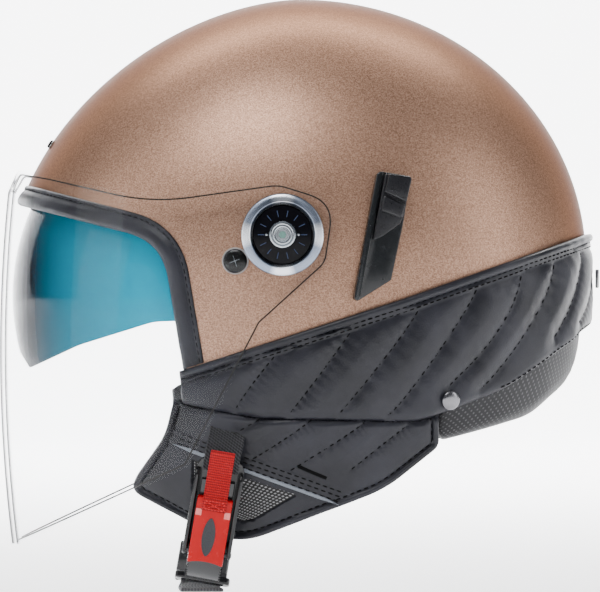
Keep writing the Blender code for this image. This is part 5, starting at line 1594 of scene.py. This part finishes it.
def woven(name, dark, light, across_pitch, along_pitch, slant, depth, rough=0.7):
    """Webbing: ribs across the strap, crossed by its long threads, from its UV map in metres."""
    made = new_finish(name, dark, rough, Specular_IOR_Level=0.25)
    flat = node(made, "SeparateXYZ", {"Vector": node(made, "UVMap").outputs["UV"]})
    across = node(made, "Math", {0: flat.outputs["X"]}, operation="MULTIPLY")
    across.inputs[1].default_value = 2 * math.pi / across_pitch
    skew = node(made, "Math", {0: flat.outputs["X"], 2: flat.outputs["Y"]}, operation="MULTIPLY_ADD")
    skew.inputs[1].default_value = slant
    along = node(made, "Math", {0: skew.outputs["Value"]}, operation="MULTIPLY")
    along.inputs[1].default_value = 2 * math.pi / along_pitch
    rib = node(made, "Math", {0: along.outputs["Value"]}, operation="SINE")
    warp = node(made, "Math", {0: across.outputs["Value"]}, operation="SINE")
    mixed = node(made, "Math", {0: warp.outputs["Value"], 2: rib.outputs["Value"]}, operation="MULTIPLY_ADD")
    mixed.inputs[1].default_value = 0.45
    height = spread(made, mixed.outputs["Value"], -1.45, 1.45, 0, 1)
    fuzz = node(made, "TexNoise", {"Vector": place_of(made)}, Scale=2500, Detail=2)
    rough_height = node(made, "Math", {0: fuzz.outputs["Fac"], 2: height}, operation="MULTIPLY_ADD")
    rough_height.inputs[1].default_value = 0.25
    # Painted light and shade: the weave's ribs are coloured lighter and its hollows darker, using the same
    # height as the bumps. The rib pattern itself is the webbing's own.
    feed(made, "Base Color", blend_colours(made, height, dark, light))
    feed(made, "Normal", relief(made, rough_height.outputs["Value"], depth, 0.9))
    return made


black_webbing = woven("black_webbing", (0.004, 0.004, 0.005), (0.050, 0.050, 0.055), 0.0013, 0.0015, 0.6,
                      0.0003)
coarse_webbing = woven("coarse_webbing", (0.003, 0.003, 0.004), (0.15, 0.15, 0.16), 0.0015, 0.0016, 0.0,
                       0.0004)
red_webbing = woven("red_webbing", (0.14, 0.0, 0.001), (0.52, 0.001, 0.004), 0.0009, 0.00125, 0.0, 0.0005,
                    0.6)

BUCKLE_AT = Vector((-0.0365, -0.109708, -0.0922))
buckle_down = Vector((-0.159004, 0.299191, -0.940852))
buckle_out = Vector((-0.049856, -0.954193, -0.295008))
buckle_across = buckle_down.cross(buckle_out)
at_buckle = Matrix.Translation(BUCKLE_AT) @ Matrix((buckle_across, buckle_down,
                                                    buckle_out)).transposed().to_4x4()


def on_buckle(across, along, out):
    return at_buckle @ Vector((across, along, out))


def strap_x(z):
    return -0.031 + 0.169 * (z + 0.062)


def strap_points(side):
    heights = ((-0.0630, -0.0058), (-0.0730, -0.0058), (-0.0850, 0.0072))
    return [Vector(beside(strap_x(z), z, side, lift)) for z, lift in heights]


left_route = strap_points(LEFT) + [on_buckle(0, -0.003, 0.0038), on_buckle(0, 0.006, 0.0038)]
left_strap = ribbon("chin_strap_left_webbing", eased(left_route, 60, 4), buckle_across, 0.0170, 0.0018)
left_strap.data.materials.append(black_webbing)
belongs(left_strap, "helmet", "black_webbing", "chin_strap_left")

LOCK_AT = Vector((-0.046281, -0.080002, -0.150073))
right_route = strap_points(RIGHT) + [Vector(beside(strap_x(z), z, RIGHT, 0.0072))
                                     for z in (-0.098, -0.113, -0.127)]
end = right_route[-1]
below = LOCK_AT.z - 0.0055
right_route += [Vector((-0.0455, end.y - 0.0070, -0.1380)), Vector((-0.0470, end.y - 0.0190, -0.1490)),
                Vector((-0.0480, end.y - 0.0430, below)), Vector((-0.0485, 0, below - 0.0005)),
                Vector((LOCK_AT.x - 0.001, LOCK_AT.y + 0.012, below)),
                Vector((LOCK_AT.x, LOCK_AT.y + 0.001, below))]
right_line = eased(right_route, 220, 10)
step = (Vector(beside(strap_x(-0.085) + 0.01, -0.085, RIGHT))
        - Vector(beside(strap_x(-0.085) - 0.01, -0.085, RIGHT)))
turned = np.clip((-right_line[:, 2] - 0.115) / 0.03, 0, 1)[:, None]
right_across = np.array(step.normalized()) * (1 - turned) + np.array((1.0, 0, 0)) * turned
right_across /= np.linalg.norm(right_across, axis=1, keepdims=True)
right_strap = ribbon("chin_strap_right_webbing", right_line, right_across, 0.0200, 0.0018)
right_strap.data.materials.append(coarse_webbing)
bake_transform(right_strap)
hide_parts("chin_strap_right", "chin_strap_lower")

# ---------------------------------------------------------------------------
# Buckle frame. A glossy black moulded channel with rounded shoulders and thin
# side walls; the toothed strap slides in its floor and the red lever is pinned
# between its walls.
BODY_LENGTH = 0.0485
buckle_black = speckled("glossy_buckle_plastic", (0.003, 0.003, 0.004), 0.15, 300, 0.00001, shine=0.5)
floor = cut_sheet("buckle_floor",
                  ((-0.0070, 0.0), (0.0070, 0.0), (0.0100, 0.0020), (0.0115, 0.0060), (0.0115, 0.0450),
                                   (0.0108, 0.0480), (-0.0108, 0.0480), (-0.0115, 0.0450), (-0.0115, 0.0060),
                                   (-0.0100, 0.0020)), 0.0, 0.0016, at_buckle, 0.0005, 3)
WALL_SIDE = ((0.0062, 0.0012), (0.0062, 0.0050), (0.0080, 0.0066), (0.0150, 0.0084), (0.0180, 0.0092),
             (0.0440, 0.0092),
             (0.0466, 0.0088), (0.0480, 0.0072), (0.0482, 0.0012))
walls = []
for wall in (-1, 1):
    at_wall = at_buckle @ Matrix.Translation((wall * 0.0106, 0, 0)) @ Matrix.Rotation(math.pi / 2, 4, "Y")
    outline = [(-out, along) for along, out in WALL_SIDE]
    walls.append(cut_sheet("wall", outline, -0.0009, 0.0009, at_wall, 0.0005, 3))
shoulder = []
for wall in (-1, 1):
    line = [on_buckle(wall * 0.0106, 0.0085, 0.0052), on_buckle(wall * 0.0104, 0.0040, 0.0036),
            on_buckle(wall * 0.0088, 0.0012, 0.0024), on_buckle(wall * 0.0055, 0.0002, 0.0018)]
    line = eased(line, 24, 3)
    rod = ribbon("shoulder", line, buckle_across, 0.0014, 0.0024)
    shoulder.append(rod)
body = joined("buckle_body_moulding", floor, *walls, *shoulder)
body.data.materials.append(buckle_black)
belongs(body, "helmet", "black_plastic", "buckle_body")
at_pin = at_buckle @ Matrix.Translation((0, 0.0455, 0.0070)) @ Matrix.Rotation(math.pi / 2, 4, "Y")
pin_hole = lathe("pin_hole", ((0, -0.02), (0.0014, -0.02), (0.0014, 0.02), (0, 0.02)), at_pin, 32)
trim_with(body, pin_hole, "DIFFERENCE")
only(body)
bpy.ops.object.shade_smooth_by_angle(angle=math.radians(32))
dark_steel = speckled("blackened_steel", (0.030, 0.030, 0.032), 0.30, 1400, 0.00004, metallic=0.8)
for name in ("lever_pin", "lever_spring"):
    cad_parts[name].data.materials.clear()
    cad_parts[name].data.materials.append(dark_steel)

# ---------------------------------------------------------------------------
# Buckle lever. Glossy red plastic, moulded, with a hollow lower edge for the
# thumb, two small pale red squares at its top corners, and a dark grained oval inlay.
lever_red = speckled("glossy_red_plastic", (0.40, 0.0, 0.002), 0.24, 300, 0.00001, lighter=1.25, shine=0.2)
pale_red = speckled("pale_red_corner_squares", (0.62, 0.14, 0.13), 0.35, 900, 0.00002)
dark_inlay = speckled("grained_dark_inlay", (0.012, 0.013, 0.015), 0.55, 1700, 0.0003, lighter=4.5, shine=0.3)
LEVER_SIDE = ((0.0184, 0.0050), (0.0360, 0.0050), (0.0390, 0.0046), (0.0410, 0.0046), (0.0440, 0.0050),
              (0.0465, 0.0052),
              (0.0510, 0.0076), (0.0512, 0.0088), (0.0505, 0.0096), (0.0470, 0.0103), (0.0400, 0.0101),
              (0.0300, 0.0096),
              (0.0220, 0.0088), (0.0186, 0.0082))
at_lever_side = at_buckle @ Matrix.Rotation(math.pi / 2, 4, "Y")
plate = cut_sheet("buckle_lever_moulding", [(-out, along) for along, out in LEVER_SIDE], -0.0084, 0.0084,
                  at_lever_side,
                  0.0005, 3)
scoop = lathe("scoop", ((0, -0.02), (0.0230, -0.02), (0.0230, 0.02), (0, 0.02)),
              at_buckle @ Matrix.Translation((0, 0.0725, 0.0)), 96)
trim_with(plate, scoop, "DIFFERENCE")
notch = cut_sheet("notch", block(-0.0022, 0.0022, 0.0418, 0.0600), 0.002, 0.0092, at_buckle, 0)
trim_with(plate, notch, "DIFFERENCE")
pin_hole = lathe("pin_hole", ((0, -0.02), (0.0014, -0.02), (0.0014, 0.02), (0, 0.02)), at_pin, 32)
trim_with(plate, pin_hole, "DIFFERENCE")
tidy(plate, 30)
plate.data.materials.append(lever_red)
belongs(plate, "lever", "red_plastic", "buckle_lever")
oval = []
for k in range(28):
    turn = 2 * math.pi * k / 28
    narrow = abs(math.cos(turn)) ** 1.25 * math.copysign(1, math.cos(turn))
    oval.append((0.0031 * narrow, 0.0095 * math.sin(turn)))
lean = math.atan2(0.0103 - 0.0096, 0.017)
at_oval = at_buckle @ Matrix.Translation((0.0003, 0.0372, 0.00995)) @ Matrix.Rotation(lean, 4, "X")
inlay = cut_sheet("lever_inlay", oval, -0.0006, 0.00025, at_oval, 0.0001, 1)
inlay.data.materials.append(dark_inlay)
belongs(inlay, "lever", "black_plastic")
# Two small pale red squares at the lever's top corners.
pale_square_lean = Matrix.Rotation(math.atan2(0.0008, 0.008), 4, "X")
for number, mark in enumerate((-0.0068, 0.0068)):
    at_mark = at_buckle @ Matrix.Translation((mark, 0.0256, 0.0092)) @ pale_square_lean
    pale_square = cut_sheet("lever_pale_square_" + str(number), block(-0.0014, 0.0014, -0.0016, 0.0016), -0.0004, 0.00018,
                    at_mark,
                    0.00005, 1)
    pale_square.data.materials.append(pale_red)
    belongs(pale_square, "lever", "red_plastic")

# ---------------------------------------------------------------------------
# Pull tab. Red ribbed webbing folded double over the lever's upper edge and
# sewn down with a box of stitches.
upper = [on_buckle(0, along, out) for along, out in
         ((-0.0042, 0.0092), (0.0010, 0.0087), (0.0070, 0.0079), (0.0140, 0.0078), (0.0176, 0.0084),
          (0.0192, 0.0096),
          (0.0240, 0.0101))]
lower = [on_buckle(0, along, out) for along, out in
         ((-0.0042, 0.0078), (0.0010, 0.0073), (0.0070, 0.0065), (0.0130, 0.0062), (0.0176, 0.0063))]
fold = [on_buckle(0, -0.0052, 0.0085)]
tab_line = eased(lower[::-1] + fold + upper, 150, 2)
tab = ribbon("pull_tab_webbing", tab_line, buckle_across, 0.0115, 0.0011)
tab.data.materials.append(red_webbing)
belongs(tab, "lever", "red_webbing", "pull_tab")
red_thread = speckled("red_thread", (0.50, 0.006, 0.010), 0.6, 2500, 0.00005)
box_lines = []
for a, b in (((-0.0046, 0.0192), (0.0046, 0.0192)), ((0.0046, 0.0192), (0.0046, 0.0232)),
             ((0.0046, 0.0232), (-0.0046, 0.0232)), ((-0.0046, 0.0232), (-0.0046, 0.0192)),
             ((-0.0046, 0.0192), (0.0046, 0.0232)), ((0.0046, 0.0192), (-0.0046, 0.0232))):
    rise = [0.01035 + 0.0006 * (along - 0.0192) / 0.004 for along in (a[1], b[1])]
    box_lines.append(even(np.array([tuple(on_buckle(a[0], a[1], rise[0])),
                                    tuple(on_buckle(b[0], b[1], rise[1]))]), 12))
tab_seam = sew("pull_tab_stitches", box_lines, [np.tile(np.array(buckle_out), (12, 1))] * 6, 0.0011, 0.0004,
               0.0004)
tab_seam.data.materials.append(red_thread)
belongs(tab_seam, "lever", "red_webbing")

# ---------------------------------------------------------------------------
# Ratchet strap and ladder lock. A stiff glossy strap with saw teeth along both
# edges runs out of the buckle and bends under the chin; the ladder lock at its
# end grips the loose end of the webbing.
RATCHET_TURN = math.radians(65)
ratchet_line = [(0.0110, 0.0031), (BODY_LENGTH + 0.001, 0.0031)]
for k in range(1, 13):
    turn = RATCHET_TURN * k / 12
    ratchet_line.append((BODY_LENGTH + 0.001 + 0.014 * math.sin(turn), 0.0031 - 0.014 * (1 - math.cos(turn))))
ratchet_path = even(np.array([tuple(on_buckle(0, along, out)) for along, out in ratchet_line]), 120)
ratchet = ribbon("ratchet_strap_moulding", ratchet_path, buckle_across, 0.0160, 0.0020)
smoke_black = speckled("smoky_black_plastic", (0.009, 0.010, 0.012), 0.16, 200, 0.00001, shine=0.7)
ratchet.data.materials.append(smoke_black)
belongs(ratchet, "ratchet", "black_plastic", "ratchet_strap")
teeth = []
path_run = np.gradient(ratchet_path, axis=0)
path_run /= np.linalg.norm(path_run, axis=1, keepdims=True)
for spot in range(66, 116, 4):
    ahead = Vector(path_run[spot])
    out = ahead.cross(buckle_across).normalized() * -1
    at_tooth = Matrix.Translation(ratchet_path[spot]) @ Matrix((buckle_across, ahead,
                                                                out)).transposed().to_4x4()
    for wall in (-1, 1):
        tooth = cut_sheet("tooth",
                          ((wall * 0.0074, -0.0007), (wall * 0.0088, 0.0007), (wall * 0.0074, 0.0007)),
                          -0.0014,
                          0.0014, at_tooth, 0.0002, 1)
        teeth.append(tooth)
teeth = joined("ratchet_teeth", *teeth)
teeth.data.materials.append(buckle_black)
belongs(teeth, "ratchet", "black_plastic")

swing = Matrix.Rotation(-RATCHET_TURN, 4, "X")
at_lock = Matrix.Translation(LOCK_AT) @ (at_buckle.to_3x3().to_4x4()) @ swing
lock_outline = ((-0.0115, -0.0060), (0.0115, -0.0060), (0.0128, -0.0050), (0.0132, -0.0030), (0.0132, 0.0030),
                (0.0126, 0.0050), (0.0112, 0.0060), (-0.0112, 0.0060), (-0.0126, 0.0050), (-0.0132, 0.0030),
                (-0.0132, -0.0030), (-0.0128, -0.0050))
lock = cut_sheet("ladder_lock_moulding", lock_outline, -0.0017, 0.0017, at_lock, 0.0008, 3)
for low, high in ((-0.0036, 0.0004), (0.0022, 0.0040)):
    window = cut_sheet("window", block(-0.0100, 0.0100, low, high), -0.01, 0.01, at_lock, 0)
    trim_with(lock, window, "DIFFERENCE")
tidy(lock, 32)
lock.data.materials.append(buckle_black)
belongs(lock, "ratchet", "black_plastic", "ladder_lock")

# ---------------------------------------------------------------------------
# Impact liner. Moulded polystyrene beads fill the shell; the moulded block
# keeps its CAD shape and shows its bead pattern.
foam_beads = new_finish("moulded_bead_foam", (0.030, 0.030, 0.032), 0.75)
bead = node(foam_beads, "TexVoronoi", {"Vector": place_of(foam_beads)}, Scale=420)
feed(foam_beads, "Base Color",
     blend_colours(foam_beads, bead.outputs["Distance"], (0.045, 0.045, 0.048), (0.014, 0.014, 0.015)))
feed(foam_beads, "Normal", relief(foam_beads, bead.outputs["Distance"], -0.0006, 0.8))
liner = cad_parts["impact_liner"]
liner.data.materials.clear()
liner.data.materials.append(foam_beads)

# ---------------------------------------------------------------------------
# Crown pad, cheek pads and strap pad. Brushed knit over soft foam, sewn in
# panels with sunk seams. The crown and cheek pads each start as their own solid
# and are blown up a little as cloth, so that their faces swell and crease between the seams.
PAD_PRESSURE = 4.0
PAD_STITCH = 0.0026
soft_knit = new_finish("soft_black_knit", (0.020, 0.020, 0.023), 0.85, Sheen_Weight=0.12, Sheen_Roughness=0.5)
knit = node(soft_knit, "TexVoronoi", {"Vector": place_of(soft_knit)}, Scale=1300, Randomness=0.35)
shade = node(soft_knit, "TexNoise", {"Vector": place_of(soft_knit)}, Scale=60, Detail=4)
feed(soft_knit, "Base Color",
     blend_colours(soft_knit, shade.outputs["Fac"], (0.012, 0.012, 0.014), (0.045, 0.045, 0.050)))
feed(soft_knit, "Normal", relief(soft_knit, knit.outputs["Distance"], 0.0001, 0.4))


def stuffed(name, node_name, voxel, shrink, keep_within, frames=20):
    """A pad's own solid, drawn in a little, blown up as cloth and held close to where it started."""
    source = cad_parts[node_name]
    bpy.ops.object.select_all(action="DESELECT")
    obj = source.copy()
    obj.data = source.data.copy()
    bpy.context.scene.collection.objects.link(obj)
    obj.name = name
    obj.data.materials.clear()
    only(obj)
    obj.parent = None
    obj.matrix_world = source.matrix_world.copy()
    bpy.ops.object.transform_apply(location=True, rotation=True, scale=True)
    obj.hide_render = False
    obj.hide_set(False)
    obj.data.remesh_voxel_size = voxel
    obj.data.remesh_voxel_adaptivity = 0
    bpy.ops.object.voxel_remesh()
    add_modifier(obj, "SMOOTH", factor=0.5, iterations=4)
    apply_all(obj)
    only(obj)
    edit_whole()
    bpy.ops.mesh.normals_make_consistent(inside=False)
    bpy.ops.transform.shrink_fatten(value=-shrink)
    edit_done()
    start = np.array([v.co for v in obj.data.vertices])
    cloth = add_modifier(obj, "CLOTH")
    cloth.settings.use_pressure = True
    cloth.settings.uniform_pressure_force = PAD_PRESSURE
    cloth.settings.effector_weights.gravity = 0
    cloth.settings.tension_stiffness = 25
    cloth.settings.compression_stiffness = 25
    cloth.settings.bending_stiffness = 1.5
    cloth.point_cache.frame_start = 1
    cloth.point_cache.frame_end = frames
    for number in range(1, frames + 1):
        bpy.context.scene.frame_set(number)
    apply_all(obj)
    bpy.context.scene.frame_set(1)
    made = np.array([v.co for v in obj.data.vertices])
    moved = made - start
    length = np.linalg.norm(moved, axis=1, keepdims=True)
    made = start + moved * np.minimum(1, keep_within / np.maximum(length, 1e-9))
    obj.data.vertices.foreach_set("co", made.ravel())
    obj.data.update()
    add_modifier(obj, "SUBSURF", levels=1)
    apply_all(obj)
    return obj


def sunk(obj, lines, depth, width):
    """Presses seams into a pad along lines of points."""
    at = np.array([v.co for v in obj.data.vertices])
    normals = np.array([v.normal for v in obj.data.vertices])
    for line in lines:
        away = nearest(at, line)
        at -= normals * (depth * np.exp(-(away / width) ** 2))[:, None]
    obj.data.vertices.foreach_set("co", at.ravel())
    obj.data.update()
    only(obj)
    bpy.ops.object.shade_smooth()
    return obj


def pad_lines(lines, lift):
    """Lines of directions from the middle of the helmet, laid on a pad's inner face."""
    return [on_surface(np.asarray(line), lift) for line in lines]


CROWN_FACE = -0.0369
crown = stuffed("crown_pad_cushion", "crown_pad", 0.003, 0.0010, 0.0012)
sweep = np.linspace(-1.15, 1.15, 90)
crown_seams = pad_lines([np.stack([np.sin(sweep) * 0.1, np.full(90, y), np.cos(sweep) * 0.1], -1)
                         for y in (-0.045, -0.015, 0.015, 0.045)], CROWN_FACE)
sunk(crown, crown_seams, 0.0016, 0.0030)
crown.data.materials.append(soft_knit)
belongs(crown, "helmet", "pad_fabric", "crown_pad")
crown_thread = sew("crown_pad_stitches", pad_lines(crown_seams, CROWN_FACE + 0.0008),
                   [-outwards(line) for line in crown_seams], PAD_STITCH)
sewn(crown_thread)

CHEEK_LINE = ((-0.062, -0.057), (0.048, -0.057), (0.048, -0.088), (0.010, -0.117), (-0.048, -0.120),
              (-0.070, -0.101),
              (-0.062, -0.080))
cheek_middle = np.mean(CHEEK_LINE, axis=0)
for label, side in SIDES:
    cheek = stuffed("cheek_pad_" + label + "_cushion", "cheek_pad_" + label, 0.0042, 0.0020, 0.0026)
    ring = [tuple(cheek_middle + (np.array(corner) - cheek_middle) * 0.74) + (0.012,)
            for corner in CHEEK_LINE]
    ring_line = even(smooth_line(ring + ring[:2])[3:], 160)
    rib_line = even(np.array(((-0.030, -0.068), (-0.022, -0.088), (-0.020, -0.108))), 40)
    seams = [beside(line[:, 0], line[:, 1], side, -0.0350) for line in (ring_line, rib_line)]
    sunk(cheek, seams, 0.0022, 0.0036)
    cheek.data.materials.append(soft_knit)
    belongs(cheek, "helmet", "pad_fabric", "cheek_pad_" + label)

pad_start = [right_route[6], right_route[7], right_route[8]]
lift = 0.0009 + 0.0020 + 0.0006
pad_route = [pad_start[0] + Vector((0, -lift, lift * 0.4)),
             pad_start[1] + Vector((0, -lift * 0.6, lift * 0.9)),
             pad_start[2] + Vector((0, 0, lift))]
strap_pad = ribbon("strap_pad_cushion", eased(pad_route, 40, 3), (1.0, 0, 0), 0.0250, 0.0034)
strap_pad.data.materials.append(soft_knit)
belongs(strap_pad, "ratchet", "pad_fabric", "strap_pad")
